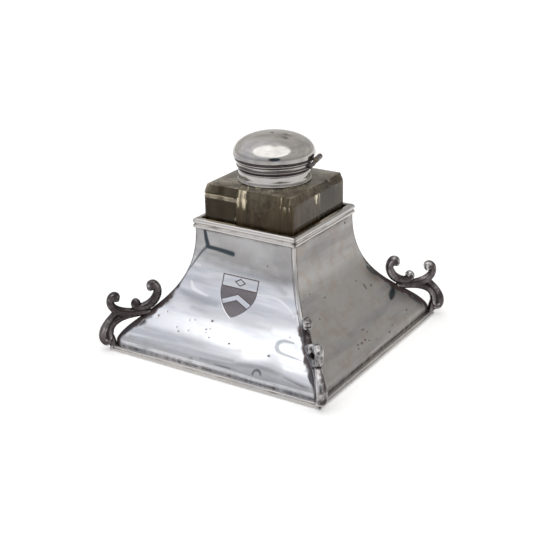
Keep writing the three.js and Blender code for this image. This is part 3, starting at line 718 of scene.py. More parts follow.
for turns, side in enumerate(SIDES):
    outer, inner, masks = panel_grid(side, 11.3 + 5.7 * turns)
    points, faces = solid_sheet(outer, inner)
    twice = {mask: np.tile(values.ravel(), 2) for mask, values in masks.items()}
    build(
        "flared_panel_" + side, quarter_turns(points, turns), faces, "stand", ["panel_" + side],
        PANEL_FINISHES[side], masks=twice,
    )


# ---- Foot and rim mouldings ----
# Drawn reeded wire of silver plate, a fine reed over a broad one at the foot and two broad
# ones round the rim, mitred at the corners and soldered on. Dirt and tarnish fill the grooves.
foot_lo, foot_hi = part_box("foot_moulding_front")
FOOT_DEPTH = 8 * MM
FOOT_FINE_REED = 0.26 * (foot_hi.z - foot_lo.z)
FOOT_BROAD_REED = foot_hi.z - foot_lo.z - FOOT_FINE_REED - 0.5 * MM
RIM_DEPTH = 3.4 * MM
RIM_LOWER_REED = 0.42 * (rim_hi.z - rim_lo.z)
RIM_UPPER_REED = rim_hi.z - rim_lo.z - RIM_LOWER_REED
WIRE_CORNER = 0.9 * MM
MITRE_GAP = 0.03 * MM


def arc(across, up, radius, start, end, steps=12, tall=None):
    """Points of an arc as (outward, up), between two angles from outward."""
    turn = np.linspace(start, end, steps)
    return list(zip(across + radius * np.cos(turn), up + (tall or radius) * np.sin(turn)))


def foot_wire():
    out = -foot_lo.y
    fine = FOOT_FINE_REED / 2
    broad = FOOT_BROAD_REED / 2
    return (
        [(out - FOOT_DEPTH, foot_lo.z)]
        + arc(out - broad, foot_lo.z + broad, broad, -math.pi / 2, 1.2)
        + arc(out - 1.0 * MM, foot_hi.z - fine, 0.8 * MM, -1.1, math.pi / 2, tall=fine)
        + [(out - 3.5 * MM, foot_hi.z), (out - FOOT_DEPTH, foot_hi.z)]
    )


def rim_wire():
    out = -rim_lo.y
    lower = RIM_LOWER_REED / 2
    upper = RIM_UPPER_REED / 2
    inner = out - RIM_DEPTH
    roll = 0.6 * MM
    return (
        [(inner, rim_lo.z)]
        + arc(out - lower, rim_lo.z + lower, lower, -math.pi / 2, 1.0)
        + arc(out - upper, rim_hi.z - upper, upper, -0.9, math.pi / 2, 16)
        + arc(inner + roll, rim_hi.z - roll, roll, math.pi / 2, math.pi, 6)
    )


def tube_faces(rings, around, start=0):
    """Faces of a closed tube of rings, with its two ends closed."""
    number = np.arange(rings * around).reshape(rings, around) + start
    beside = np.roll(number, -1, axis=1)
    quads = np.stack([number[:-1], number[1:], beside[1:], beside[:-1]], -1).reshape(-1, 4)
    return quads.tolist() + [number[0].tolist(), number[-1, ::-1].tolist()]


def wire(section, groove, joint, seed):
    """A length of wire along the front with rounded mitred ends, and its tarnish mask."""
    out, z = np.array(section).T
    turn = np.linspace(0, math.pi / 4, 6)[1:, None]
    straight = out - WIRE_CORNER
    end = straight + WIRE_CORNER * np.sin(turn)
    middle = np.linspace(-1, 1, 71)[:, None] * straight
    x = np.vstack([-end[::-1], middle, end]) * (1 - MITRE_GAP / out.max())
    sunk = np.broadcast_to(WIRE_CORNER * (1 - np.cos(turn)), end.shape)
    sunk = np.vstack([sunk[::-1], np.zeros_like(middle), sunk])
    wavy = 0.05 * MM * cloud(x, out[None, :], 0, 9 * MM, seed)
    points = np.stack([x, -(out - sunk) - wavy, np.broadcast_to(z, x.shape)], -1)
    near = lambda spot, reach: np.exp(-np.hypot(out - spot[0], z - spot[1]) / reach)
    patchy = 0.6 + 0.6 * cloud(x, 0, z[None, :], 6 * MM, seed + 2)
    corner = np.exp(-np.abs(np.abs(x) - out) / (1.2 * MM))
    tarnish_and_shade = (1.4 * near(groove, 0.3 * MM) + 0.4 * near(joint, 0.5 * MM))[None, :] * patchy
    tarnish_and_shade += 0.8 * corner
    return points.reshape(-1, 3), tube_faces(*x.shape), {"tarnish_and_shade": np.clip(tarnish_and_shade, 0, 1).ravel()}


WIRE_FINISH = plate_finish("wire_plate", (0.56, 0.54, 0.52), (0.5, 0.48, 0.46), 0.19)
foot_out = -foot_lo.y
foot_groove = (foot_out - 0.7 * MM, foot_lo.z + FOOT_BROAD_REED + 0.2 * MM)
foot_joint = (foot_out - 3 * MM, foot_hi.z)
rim_out = -rim_lo.y
rim_groove = (rim_out - 0.6 * MM, rim_lo.z + RIM_LOWER_REED)
rim_joint = (rim_out - RIM_LEDGE, rim_lo.z)
for turns, side in enumerate(SIDES):
    for edge, section, groove, joint, seed, slot in (
        ("foot", foot_wire(), foot_groove, foot_joint, 3.1, "silver_plate"),
        ("rim", rim_wire(), rim_groove, rim_joint, 8.4, "bright_plate"),
    ):
        points, faces, masks = wire(section, groove, joint, seed + turns)
        build(
            f"{edge}_wire_{side}", quarter_turns(points, turns), faces, "stand",
            [f"{edge}_moulding_{side}"], WIRE_FINISH, masks=masks,
        )


# ---- Pen rests ----
# One cast and oxidised scroll on each corner, of two curled arms on a leg with two ribs that
# ends in a volute. It is filed to fit the corner and soldered there. The high points are worn.
REST_VOXEL = 0.24 * MM
FLUTE_DEPTH = 0.1
SEAT_SHIFT = 0.3  # outward, in mm, from the drawing below
# Each bar: out along the diagonal, up, half thickness, half depth, in mm
INNER_ARM = [
    (73.2, 36.2, 1.9, 2.7), (73.0, 38.0, 2.2, 2.9), (71.2, 38.6, 2.3, 2.9), (69.4, 37.0, 2.2, 2.8),
    (68.9, 34.3, 2.4, 2.5), (69.6, 31.4, 2.6, 2.5), (71.3, 28.6, 2.7, 2.6), (73.8, 26.4, 2.7, 2.7),
    (76.8, 25.2, 2.5, 2.7), (79.6, 24.9, 2.2, 2.6), (82.0, 25.6, 1.9, 2.6), (83.0, 27.4, 1.7, 2.6),
    (81.9, 28.9, 1.6, 2.7), (80.5, 28.1, 1.5, 2.6),
]
INNER_HEAD = [(71.0, 36.9, 2.3, 2.6), (72.6, 36.9, 2.3, 2.6)]
INNER_CURL = [(81.0, 27.0, 1.5, 2.3), (81.9, 27.2, 1.5, 2.3)]
OUTER_ARM = [
    (92.5, 31.3, 1.8, 2.7), (92.5, 33.0, 2.1, 2.9), (94.1, 33.5, 2.1, 2.9), (95.7, 32.2, 2.1, 2.7),
    (96.2, 29.7, 2.2, 2.5), (95.4, 27.0, 2.4, 2.5), (93.2, 24.7, 2.6, 2.6), (89.9, 23.1, 2.7, 2.7),
    (85.8, 22.3, 2.6, 2.7), (81.3, 22.1, 2.5, 2.6), (77.2, 22.0, 2.3, 2.5), (74.6, 21.8, 1.8, 2.2),
]
OUTER_HEAD = [(93.2, 32.0, 2.1, 2.6), (94.2, 31.9, 2.1, 2.6)]
OUTER_RIB = [
    (93.8, 22.6, 1.9, 2.2), (96.2, 20.1, 1.8, 2.3), (98.2, 17.6, 2.0, 2.7), (99.9, 14.7, 2.3, 3.1),
    (101.2, 11.4, 2.5, 3.3), (101.3, 8.0, 2.6, 3.3), (99.9, 5.6, 2.3, 3.2), (97.9, 5.9, 1.8, 2.9),
]
INNER_RIB = [
    (79.5, 21.0, 1.5, 2.2), (84.0, 20.8, 1.8, 2.3), (88.2, 20.2, 2.0, 2.4), (92.0, 18.8, 2.1, 2.5),
    (94.9, 16.7, 2.1, 2.6), (96.7, 13.9, 2.0, 2.7), (97.2, 10.9, 1.9, 2.8), (97.4, 8.2, 1.7, 2.9),
    (99.0, 6.8, 1.5, 3.2), (100.3, 7.9, 1.4, 3.5),
]
STUB = [(97.0, 9.5, 1.7, 2.3), (96.4, 6.5, 2.0, 2.4), (96.0, 3.0, 2.2, 2.6)]
CORE = [
    (96.0, 19.0, 1.6, 1.8), (98.2, 15.5, 1.9, 2.2), (99.4, 12.0, 2.0, 2.4), (99.2, 8.0, 2.6, 2.6),
]
REST_BARS = (
    INNER_ARM, INNER_HEAD, INNER_CURL, OUTER_ARM, OUTER_HEAD, OUTER_RIB, INNER_RIB, STUB, CORE,
)


def fluted_bar(path):
    """A round-ended bar along a path, with a flute down both of its sides."""
    line = through(path, 6) * MM
    ahead = np.gradient(line[:, :2], axis=0)
    ahead /= np.linalg.norm(ahead, axis=1)[:, None]
    closing = np.linspace(math.pi / 2, 0, 6)[:-1]
    rings = [(line[0], ahead[0], -math.sin(a), math.cos(a)) for a in closing]
    rings += [(at, way, 0, 1) for at, way in zip(line, ahead)]
    rings += [(line[-1], ahead[-1], math.sin(a), math.cos(a)) for a in closing[::-1]]
    turn = np.linspace(0, 2 * math.pi, 28, endpoint=False)
    flute = np.exp(-(((np.abs(np.angle(np.exp(1j * turn))) - math.pi / 2) / 0.5) ** 2))
    around = 1 - FLUTE_DEPTH * flute
    points = []
    for (out, up, thick, deep), way, shift, size in rings:
        size = max(size, 0.02)
        side = np.cos(turn) * around * thick * size
        across = np.sin(turn) * around * deep * size
        outward = out + way[0] * shift * thick - way[1] * side
        upward = up + way[1] * shift * thick + way[0] * side
        points.append(np.stack([outward, across, upward], -1))
    return np.array(points)


def melt(points, faces, voxel, smoothing):
    """The bodies joined into one skin of even facets, as points and faces."""
    mesh = bpy.data.meshes.new("melt")
    mesh.from_pydata([tuple(point) for point in points], [], faces)
    work = bpy.data.objects.new("melt", mesh)
    bpy.context.scene.collection.objects.link(work)
    join = work.modifiers.new("join", "REMESH")
    join.mode = "VOXEL"
    join.voxel_size = voxel
    ease = work.modifiers.new("ease", "SMOOTH")
    ease.iterations = smoothing
    seen = work.evaluated_get(bpy.context.evaluated_depsgraph_get()).to_mesh()
    co = np.empty(3 * len(seen.vertices))
    seen.vertices.foreach_get("co", co)
    skin = [list(face.vertices) for face in seen.polygons]
    bpy.data.objects.remove(work)
    bpy.data.meshes.remove(mesh)
    return co.reshape(-1, 3), skin


def bulge(points, faces, rounds):
    """How far each point stands out from the points round it, from -1 to 1."""
    quads = np.array([face if len(face) == 4 else face + face[-1:] for face in faces])
    pairs = np.concatenate([quads[:, [a, (a + 1) % 4]] for a in range(4)])
    pairs = np.concatenate([pairs, pairs[:, ::-1]])
    count = np.bincount(pairs[:, 0], minlength=len(points))[:, None].clip(1)
    normal = np.zeros_like(points)
    across = points[quads[:, 2]] - points[quads[:, 0]]
    back = points[quads[:, 3]] - points[quads[:, 1]]
    face_normal = np.cross(across, back)
    for corner in range(4):
        np.add.at(normal, quads[:, corner], face_normal)
    normal /= np.linalg.norm(normal, axis=1)[:, None].clip(1e-20)
    calm = points.copy()
    for _ in range(rounds):
        total = np.zeros_like(points)
        np.add.at(total, pairs[:, 0], calm[pairs[:, 1]])
        calm = total / count
    out = ((points - calm) * normal).sum(1)
    return np.clip(out / np.percentile(np.abs(out), 92), -1, 1)


def pen_rest():
    """A rest with its length along +X, fitted round the rolled corner of the panels."""
    points, faces, start = [], [], 0
    for path in REST_BARS:
        bar = fluted_bar([(out + SEAT_SHIFT, *rest) for out, *rest in path])
        rings, around = bar.shape[:2]
        faces += tube_faces(rings, around, start)
        points.append(bar.reshape(-1, 3))
        start += rings * around
    points, faces = melt(np.concatenate(points), faces, REST_VOXEL, 8)
    stands_out = bulge(points, faces, 14)
    out, across, up = points.T
    half = half_width_at(up)
    across_size = np.abs(across)
    corner = math.sqrt(2) * half - np.maximum(across_size, BEVEL / math.sqrt(2))
    fitted = np.where(up > foot_hi.z, np.maximum(out, corner + 0.02 * MM), out)
    on_wire = (out + across_size) / math.sqrt(2) < -foot_lo.y
    up = np.where(on_wire, np.maximum(up, foot_hi.z + 0.02 * MM), up)
    near = np.exp(-np.clip(out - corner, 0, None) / (1.2 * MM))
    return np.stack([fitted, across, up], -1), faces, stands_out, near


oxidised, inputs, place = new_finish("oxidised_plate", {"IOR": 1.45})
fine = place.noise(900, 5, 0.65)
clouds = place.noise(120, 4, 0.6)
worn = (place.attribute("bulge") + (fine - 0.5) * 0.7 + (clouds - 0.5) * 2.0).between(0.65, 1.45)
hollow = (0 - place.attribute("bulge") + (clouds - 0.5) * 0.6).between(0.0, 0.6)
soldered = place.attribute("joint")
colour = clouds.between(0.35, 0.65).tint((0.045, 0.036, 0.038), (0.13, 0.11, 0.112))
colour = (worn * 0.85).tint(colour, (0.70, 0.69, 0.69))
colour = (hollow * 0.9).tint(colour, (0.014, 0.010, 0.011))
colour = (soldered * fine.between(0.3, 0.7)).tint(colour, (0.075, 0.045, 0.04))
relief = (fine - 0.5) * 0.5 + (clouds - 0.5) * 0.4
metallic = 0.95 - hollow * 0.45 - soldered * 0.2
rough = (0.17 - worn * 0.05 + hollow * 0.3 + clouds * 0.06).most(0.1)
feed_each(inputs, {"Base Color": colour, "Metallic": metallic, "Roughness": rough})
place.feed(inputs["Normal"], relief.bump(0.5, 0.0002))
rest_points, rest_faces, rest_bulge, rest_joint = pen_rest()
REST_WEAR = {"back_right": 0.1, "back_left": 0.1, "front_left": 0, "front_right": 0.35}
for turns, (corner, wear) in enumerate(REST_WEAR.items()):
    turn = np.array(Matrix.Rotation(math.radians(45 + 90 * turns), 3, "Z"))
    masks = {"bulge": rest_bulge + wear * (rest_bulge > 0), "joint": rest_joint}
    build(
        "scroll_rest_" + corner, rest_points @ turn.T, rest_faces, "stand", ["pen_rest_" + corner],
        oxidised, sharp=75, masks=masks,
    )


# ---- Tray, board, gussets and screws ----
# A tray of tarnished silver plate that holds the well, a stained wooden board let in under the
# stand, and the brass gussets and screws that hold the board. They are the plain parts.
def dress(nodes, material):
    """Gives CAD parts that stay as they are a material."""
    for name in nodes:
        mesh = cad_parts[name].data
        mesh.materials.clear()
        mesh.materials.append(material)


tarnished, inputs, place = new_finish("tarnished_plate", {"Metallic": 0.9, "IOR": 1.45})
clouds = place.noise(60, 5, 0.6).between(0.35, 0.65)
fine = place.noise(500, 4, 0.6)
streaks = place.noise(260, 4, 0.6, (1, 1, 0.1)).between(0.35, 0.7)
colour = clouds.tint((0.16, 0.10, 0.045), (0.48, 0.33, 0.15))
colour = (streaks * 0.75).tint(colour, (0.05, 0.034, 0.02))
rough = 0.38 + fine * 0.25
feed_each(inputs, {"Base Color": colour, "Roughness": rough, "Normal": fine.bump(0.3, 0.0002)})
dress(["well_tray"], tarnished)

stained_wood, inputs, place = new_finish("stained_wood", {"IOR": 1.45, "Specular IOR Level": 0.4})
grain = place.noise(160, 6, 0.65, (0.07, 1, 1))
pores = place.noise(1100, 2, 0.5, (0.05, 1, 1)).between(0.55, 0.7)
colour = grain.between(0.35, 0.65).tint((0.06, 0.026, 0.013), (0.15, 0.072, 0.034))
colour = (pores * 0.6).tint(colour, (0.025, 0.012, 0.007))
height = grain * 0.6 - pores * 0.8
feed_each(inputs, {"Base Color": colour, "Roughness": 0.42 + grain * 0.2})
place.feed(inputs["Normal"], height.bump(0.5, 0.0002))
dress(["base_board"], stained_wood)

old_brass, inputs, place = new_finish("old_brass", {"Metallic": 1.0, "IOR": 1.45})
patina = place.noise(220, 5, 0.6)
brushed = place.noise(700, 3, 0.6, (1, 0.08, 1))
colour = patina.between(0.35, 0.68).tint((0.50, 0.34, 0.13), (0.20, 0.125, 0.055))
rough = 0.28 + patina * 0.2 + brushed * 0.1
feed_each(inputs, {"Base Color": colour, "Roughness": rough})
place.feed(inputs["Normal"], brushed.bump(0.25, 0.0001))
dress(["base_gusset_" + corner for corner in REST_WEAR], old_brass)
dress(["base_screw_" + corner for corner in REST_WEAR], old_brass)


# ---- Pad and baize ----
# A square of brown felt laid in the tray under the well, and a square of green baize glued
# under the board. Both are cut cloth with soft, slightly uneven faces and edges.
def cloth(name, node, material, corner, seed):
    """A square of thick cloth with rounded edges, from the box of the node it replaces."""
    lo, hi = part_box(node)
    half = hi.x
    thick = hi.z - lo.z
    steps = spread(-half, half, 1.4 * MM)
    x, y = np.meshgrid(steps, steps)
    edge = np.clip(np.minimum(half - np.abs(x), half - np.abs(y)) / (0.9 * MM), 0, 1)
    straight = half - corner
    past = lambda v: np.clip(np.abs(v) - straight, 0, None)
    beyond = np.hypot(past(x), past(y))
    pull = np.where(beyond > corner, corner / np.maximum(beyond, 1e-9), 1)
    shift = lambda v: np.where(np.abs(v) > straight, np.sign(v) * (straight + past(v) * pull), v)
    lumps = 0.06 * thick * cloud(x, y, 0, 6 * MM, seed)
    rise = np.sqrt(1 - (1 - edge) ** 2) * 0.38 + 0.1
    middle = (lo.z + hi.z) / 2
    fray = 1 - 0.004 * (1 - edge) * (1 + cloud(x, y, 0, 2 * MM, seed + 4))
    upper = middle + thick * rise + lumps * edge * 0.3
    top = np.stack([shift(x) * fray, shift(y) * fray, upper], -1)
    foot = np.stack([shift(x) * fray, shift(y) * fray, middle - thick * rise], -1)
    points, faces = solid_sheet(top, foot)
    made = build(name, points, faces, "stand", [node], material, sharp=70)
    return made, 2 * half


def nap(name, dark, light, strength):
    """Felted wool: short fibres lying every way, in two tones."""
    constants = {"Roughness": 0.95, "Specular IOR Level": 0.15, "Sheen Weight": 0.35}
    made, inputs, place = new_finish(name, constants)
    fibres = place.noise(1700, 5, 0.7)
    lying = place.noise(900, 3, 0.6, (0.25, 1, 1))
    worn = place.noise(45, 4, 0.6).between(0.4, 0.7)
    colour = fibres.between(0.32, 0.68).tint(dark, light)
    colour = (worn * 0.35).tint(colour, light)
    height = fibres * 0.7 + lying * 0.5
    feed_each(inputs, {"Base Color": colour, "Normal": height.bump(strength, 0.0004)})
    return made


brown_felt = nap("brown_felt", (0.028, 0.021, 0.015), (0.065, 0.05, 0.036), 0.6)
felt, felt_width = cloth("felt_pad", "well_pad", brown_felt, 2.5 * MM, 2.2)
green_baize = nap("green_baize", (0.008, 0.035, 0.016), (0.02, 0.075, 0.036), 0.7)
baize, baize_width = cloth("baize_square", "base_baize", green_baize, 1 * MM, 6.8)


# ---- Glass well ----
# A thick square block of clear glass, slightly olive, with a bevelled top, ground edges and a
# round bore. Old ink has dried on the wall and the floor of the bore.
glass_lo, glass_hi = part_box("glass_well")
GLASS_HALF = glass_hi.x
NECK = 5.5 * MM
BLOCK_TOP = glass_hi.z - NECK
CHAMFER_IN = 1.75 * MM
CHAMFER_DOWN = 4.5 * MM
GLASS_CORNER = 2.5 * MM
NECK_RADIUS = 18.4 * MM
MOUTH_RADIUS = 15 * MM
BORE_RADIUS = 17 * MM
BORE_FLOOR = glass_lo.z + 7 * MM
EDGE = 0.3 * MM


def square_ring(half, corner, z, straight=14, bend=9):
    """A square with rounded corners as a ring of points."""
    side = np.linspace(-(half - corner), half - corner, straight, endpoint=False)
    turn = np.linspace(-math.pi / 2, 0, bend, endpoint=False)
    x = np.concatenate([side, half - corner + corner * np.cos(turn)])
    y = np.concatenate([np.full(straight, -half), -half + corner + corner * np.sin(turn)])
    quarter = np.stack([x, y, np.full_like(x, z)], -1)
    return np.concatenate([quarter_turns(quarter, turns) for turns in range(4)])


def round_ring(like, radius, z):
    """A circle of points at the same bearings as another ring."""
    bearing = np.arctan2(like[:, 1], like[:, 0])
    level = np.full_like(bearing, z)
    return np.stack([radius * np.cos(bearing), radius * np.sin(bearing), level], -1)


def glass_block():
    """The block from the middle of its foot, over its neck and down into its bore."""
    half, corner, foot = GLASS_HALF, GLASS_CORNER, glass_lo.z
    shallow = CHAMFER_IN / CHAMFER_DOWN
    rings = [square_ring(1e-6, 1e-7, foot), square_ring(half - 1.2 * MM, corner - MM, foot)]
    rings += [square_ring(half - 0.35 * MM, corner - 0.3 * MM, foot + 0.15 * MM)]
    rings += [square_ring(half, corner, foot + 0.9 * MM)]
    side = BLOCK_TOP - CHAMFER_DOWN
    rings += [square_ring(half, corner, z) for z in np.linspace(foot + 3 * MM, side - 4 * MM, 6)]
    rings += [square_ring(half, corner, side - down * MM) for down in (3.2, 2.8, 1.0, 0.7, 0.3)]
    rings += [square_ring(half - 0.25 * EDGE * shallow, corner, side)]
    rings += [square_ring(half - EDGE * shallow, corner - EDGE * shallow, side + EDGE)]
    inset = CHAMFER_IN - EDGE * shallow
    rings += [square_ring(half - inset, corner - inset, BLOCK_TOP - EDGE)]
    rings += [square_ring(half - CHAMFER_IN - 0.1 * MM, corner - CHAMFER_IN, BLOCK_TOP - 0.08 * MM)]
    rings += [square_ring(half - CHAMFER_IN - 0.4 * MM, corner - CHAMFER_IN, BLOCK_TOP)]
    bore = [
        (NECK_RADIUS + 0.5 * MM, BLOCK_TOP), (NECK_RADIUS, BLOCK_TOP + 0.5 * MM),
        (NECK_RADIUS, glass_hi.z - 0.4 * MM), (NECK_RADIUS - 0.4 * MM, glass_hi.z),
        (MOUTH_RADIUS + 0.5 * MM, glass_hi.z), (MOUTH_RADIUS, glass_hi.z - 0.5 * MM),
        (MOUTH_RADIUS, BLOCK_TOP - 1 * MM), (MOUTH_RADIUS + 0.5 * MM, BLOCK_TOP - 2 * MM),
    ]
    shoulder = arc(BORE_RADIUS - 2.5 * MM, BLOCK_TOP - 5.5 * MM, 2.5 * MM, 1.2, 0, 7)
    wall = [(BORE_RADIUS, z) for z in np.linspace(BLOCK_TOP - 8 * MM, BORE_FLOOR + 7 * MM, 9)]
    bowl = arc(0, BORE_FLOOR + 6.5 * MM, BORE_RADIUS, 0, -math.pi / 2, 16, tall=6.5 * MM)
    bore += shoulder + wall + bowl[1:-1] + [(1e-6, BORE_FLOOR)]
    ring = square_ring(half, corner, 0)
    rings += [round_ring(ring, radius, z) for radius, z in bore]
    rings = np.array(rings)
    number = np.arange(rings.shape[0] * rings.shape[1]).reshape(rings.shape[:2])
    beside = np.roll(number, -1, axis=1)
    quads = np.stack([number[:-1], beside[:-1], beside[1:], number[1:]], -1)
    return rings.reshape(-1, 3), quads.reshape(-1, 4).tolist()


def covered(material, place, over, colour, cover):
    """Lays a coloured coating over the material's own shader, as thick as cover says."""
    nodes = material.node_tree.nodes
    clean = Signal(material.node_tree, nodes["Principled BSDF"].outputs["BSDF"])
    place.feed(over.socket.node.inputs["Base Color"], colour)
    mixed = place.node("MixShader", {}, {0: cover, 1: clean, 2: over})
    place.feed(nodes["Material Output"].inputs["Surface"], mixed)


GLASS_TINT = (0.62, 0.50, 0.35, 1)
clear_glass, inputs, place = new_finish(
    "clear_glass",
    {
        "Transmission Weight": 1.0, "IOR": 1.51, "Specular IOR Level": 0.4,
        "Specular Tint": GLASS_TINT,
    },
)
dust = place.noise(700, 5, 0.7).between(0.58, 0.72)
smear = place.noise(55, 4, 0.6)
olive = smear.tint((0.83, 0.74, 0.56), (0.72, 0.62, 0.43))
swirl = place.noise(90, 3, 0.5, (1, 1, 0.4))
feed_each(inputs, {"Base Color": olive, "Roughness": 0.012 + dust * 0.05})
place.feed(inputs["Normal"], swirl.bump(0.12, 0.0004))

# A coat of grey-brown dust and drips, which also carries a painted glint and a pale strip of
# refracted light on the block.
film_and_painted_light = place.node("BsdfPrincipled", {}, {"Roughness": 0.3, "IOR": 1.45})
drips = place.noise(170, 5, 0.6, (1, 1, 0.10))
grey_brown = drips.between(0.3, 0.65).tint((0.12, 0.09, 0.055), (0.50, 0.44, 0.33))
dirt_and_painted_light = drips.between(0.5, 0.75) * 0.05 + smear.between(0.4, 0.7) * 0.02
dirt_and_painted_light = (dirt_and_painted_light + place.attribute("film_and_painted_light")).least(0.9)
covered(clear_glass, place, film_and_painted_light, grey_brown, dirt_and_painted_light)

inked_glass, inputs, place = new_finish("inked_glass", {"Transmission Weight": 1.0, "IOR": 1.51})
pale = place.noise(80, 3).tint((0.93, 0.92, 0.84), (0.75, 0.70, 0.56))
feed_each(inputs, {"Base Color": pale, "Roughness": place.noise(400, 3) * 0.06})
ink = place.node("BsdfPrincipled", {}, {"Roughness": 0.45, "IOR": 1.45})
runs = place.noise(240, 5, 0.6, (1, 1, 0.12))
dried = runs.between(0.3, 0.7).tint((0.012, 0.009, 0.006), (0.11, 0.074, 0.036))
low = place.part("Z").between(BLOCK_TOP - 6 * MM, glass_lo.z + 14 * MM)
dark_cover = (runs + low * 0.6 + (place.noise(30, 3) - 0.5) * 0.5).between(0.42, 0.70, 0.15)
covered(inked_glass, place, ink, dried, dark_cover)

points, faces = glass_block()
x, y, z = points.T
below = BLOCK_TOP - CHAMFER_DOWN - z
on_top = (z > BLOCK_TOP - 0.2 * MM) * 0.22 + (z > BLOCK_TOP - CHAMFER_DOWN) * 0.08
# A pale strip on the front, under the bevel, that stands for the light refracted there.
refracted_strip = (y < -GLASS_HALF + 0.1 * MM) & (below > 0.9 * MM) & (below < 2.9 * MM)
# A painted glint at the top of the front left corner.
corner_glint = np.exp(-((np.hypot(x + 28 * MM, y + 28 * MM) / (2 * MM)) ** 2)) * (below < 0)
film_and_light_mask = on_top + 0.5 * corner_glint + refracted_strip * (x < -7 * MM) * 0.5
block = build(
    "glass_block", points, faces, "well", ["glass_well"], clear_glass, sharp=24,
    masks={"film_and_painted_light": film_and_light_mask},
)
block.data.materials.append(inked_glass)
middles = np.empty(3 * len(block.data.polygons))
block.data.polygons.foreach_get("center", middles)
middles = middles.reshape(-1, 3)
across = np.hypot(middles[:, 0], middles[:, 1])
in_bore = (across < BORE_RADIUS + 0.1 * MM) & (middles[:, 2] > BORE_FLOOR - 0.1 * MM)
in_bore &= middles[:, 2] < BLOCK_TOP - 0.5 * MM
block.data.polygons.foreach_set("material_index", in_bore.astype(np.int32))


# ---- Collar ----
# A spun ring of silver plate that grips the neck of the glass, with a turned foot, a groove
# full of brown tarnish and a rolled head that the lid shuts on.
collar_lo, collar_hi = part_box("collar")
COLLAR_RADIUS = 20.4 * MM
COLLAR_BORE = 18.7 * MM
COLLAR_HEAD = 21.3 * MM
COLLAR_LIP = 16.5 * MM
LIP_DEPTH = 5.6 * MM
GROOVE_RISE = 6.6 * MM
GROOVE_WIDTH = 1.2 * MM
GROOVE_DEPTH = 0.7 * MM


def turned(profile, seed, unevenness=0.03 * MM, around=144, loop=True):
    """A closed profile of (radius, height) turned about the upright axis, slightly uneven."""
    radius, z = np.array(profile).T
    turn = np.linspace(0, 2 * math.pi, around, endpoint=False)[:, None]
    cosine, sine = np.cos(turn), np.sin(turn)
    uneven = unevenness * cloud(cosine * radius, sine * radius, z[None, :], 7 * MM, seed)
    uneven *= np.clip(radius / (4 * MM), 0, 1)
    reach = radius + uneven
    points = np.stack([cosine * reach, sine * reach, np.broadcast_to(z, reach.shape)], -1)
    number = np.arange(points.shape[0] * points.shape[1]).reshape(points.shape[:2])
    next_turn = np.roll(number, -1, axis=0)
    if loop:
        beside, next_beside = np.roll(number, -1, axis=1), np.roll(next_turn, -1, axis=1)
    else:
        number, beside = number[:, :-1], number[:, 1:]
        next_turn, next_beside = next_turn[:, :-1], next_turn[:, 1:]
    quads = np.stack([number, next_turn, next_beside, beside], -1)
    return points.reshape(-1, 3), quads.reshape(-1, 4).tolist()


def ring_mask(profile, places, around=144):
    """A mask that is strong at places of a profile and fades over the distance given with each."""
    profile = np.array(profile)
    mask = sum(
        strength * np.exp(-np.hypot(profile[:, 0] - r, profile[:, 1] - z) / reach)
        for r, z, reach, strength in places
    )
    return {"tarnish_and_shade": np.tile(np.clip(mask, 0, 1), around)}


def collar_profile():
    foot, top = collar_lo.z, collar_hi.z
    groove = foot + GROOVE_RISE
    head = groove + GROOVE_WIDTH
    flare = COLLAR_RADIUS + 0.1 * MM
    return (
        [(COLLAR_BORE, foot), (flare, foot)]
        + arc(flare, foot + 0.4 * MM, 0.4 * MM, -math.pi / 2, math.pi / 2, 9)[1:]
        + [(COLLAR_RADIUS - 0.1 * MM, foot + 1.1 * MM), (COLLAR_RADIUS - 0.12 * MM, foot + 3 * MM)]
        + [(COLLAR_RADIUS - 0.05 * MM, groove - 1.1 * MM)]
        + arc(COLLAR_RADIUS - 0.3 * MM, groove - 0.4 * MM, 0.4 * MM, -1.2, 1.4, 7)
        + arc(
            COLLAR_RADIUS - 0.1 * MM, groove + 0.6 * MM, GROOVE_DEPTH, -2.2, -4.0, 8,
            tall=0.55 * MM,
        )
        + arc(COLLAR_HEAD - 0.5 * MM, head + 0.5 * MM, 0.5 * MM, -1.3, 1.2, 8)
        + [(COLLAR_HEAD - 0.35 * MM, head + 1.15 * MM)]
        + arc(COLLAR_HEAD - 0.8 * MM, top - 0.8 * MM, 0.8 * MM, -0.6, math.pi / 2, 10)
        + [(COLLAR_LIP + 0.4 * MM, top), (COLLAR_LIP, top - 0.4 * MM)]
        + [(COLLAR_LIP, top - LIP_DEPTH), (COLLAR_BORE, top - LIP_DEPTH)]
    )


SPUN_FINISH = plate_finish(
    "spun_plate", (0.46, 0.445, 0.43), (0.4, 0.38, 0.36), 0.13, (0.9, 0.84, 0.8)
)
profile = collar_profile()
points, faces = turned(profile, 4.4, 0.07 * MM)
groove = collar_lo.z + GROOVE_RISE + 0.6 * MM
masks = ring_mask(
    profile,
    [
        (COLLAR_RADIUS - 0.5 * MM, groove, 0.7 * MM, 1.6),
        (COLLAR_RADIUS, collar_lo.z + 1.2 * MM, 0.3 * MM, 0.8),
        (COLLAR_HEAD - 0.3 * MM, collar_hi.z - 2.1 * MM, 0.4 * MM, 1.5),
        (COLLAR_HEAD, collar_hi.z, 0.5 * MM, 0.6),
    ],
)
build(
    "spun_collar", points, faces, "well", ["collar"], SPUN_FINISH, sharp=50,
    masks=masks,
)


# ---- Lid ----
# A spun dome of silver plate with a turned edge, on a bezel that shuts on the collar, and a
# dished plate inside. The crown is hazed with tarnish and has a few small knocks.
lid_lo, lid_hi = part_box("lid_shell")
bezel_lo, bezel_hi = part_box("lid_bezel")
liner_lo, liner_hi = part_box("lid_liner")
LID_RADIUS = lid_hi.x
LID_EDGE = 1.4 * MM
LID_SHEET = 0.9 * MM
LINER_SHEET = 0.8 * MM
BEZEL_RADIUS = bezel_hi.x
BEZEL_WALL = 3 * MM
widest = lid_lo.z + LID_EDGE


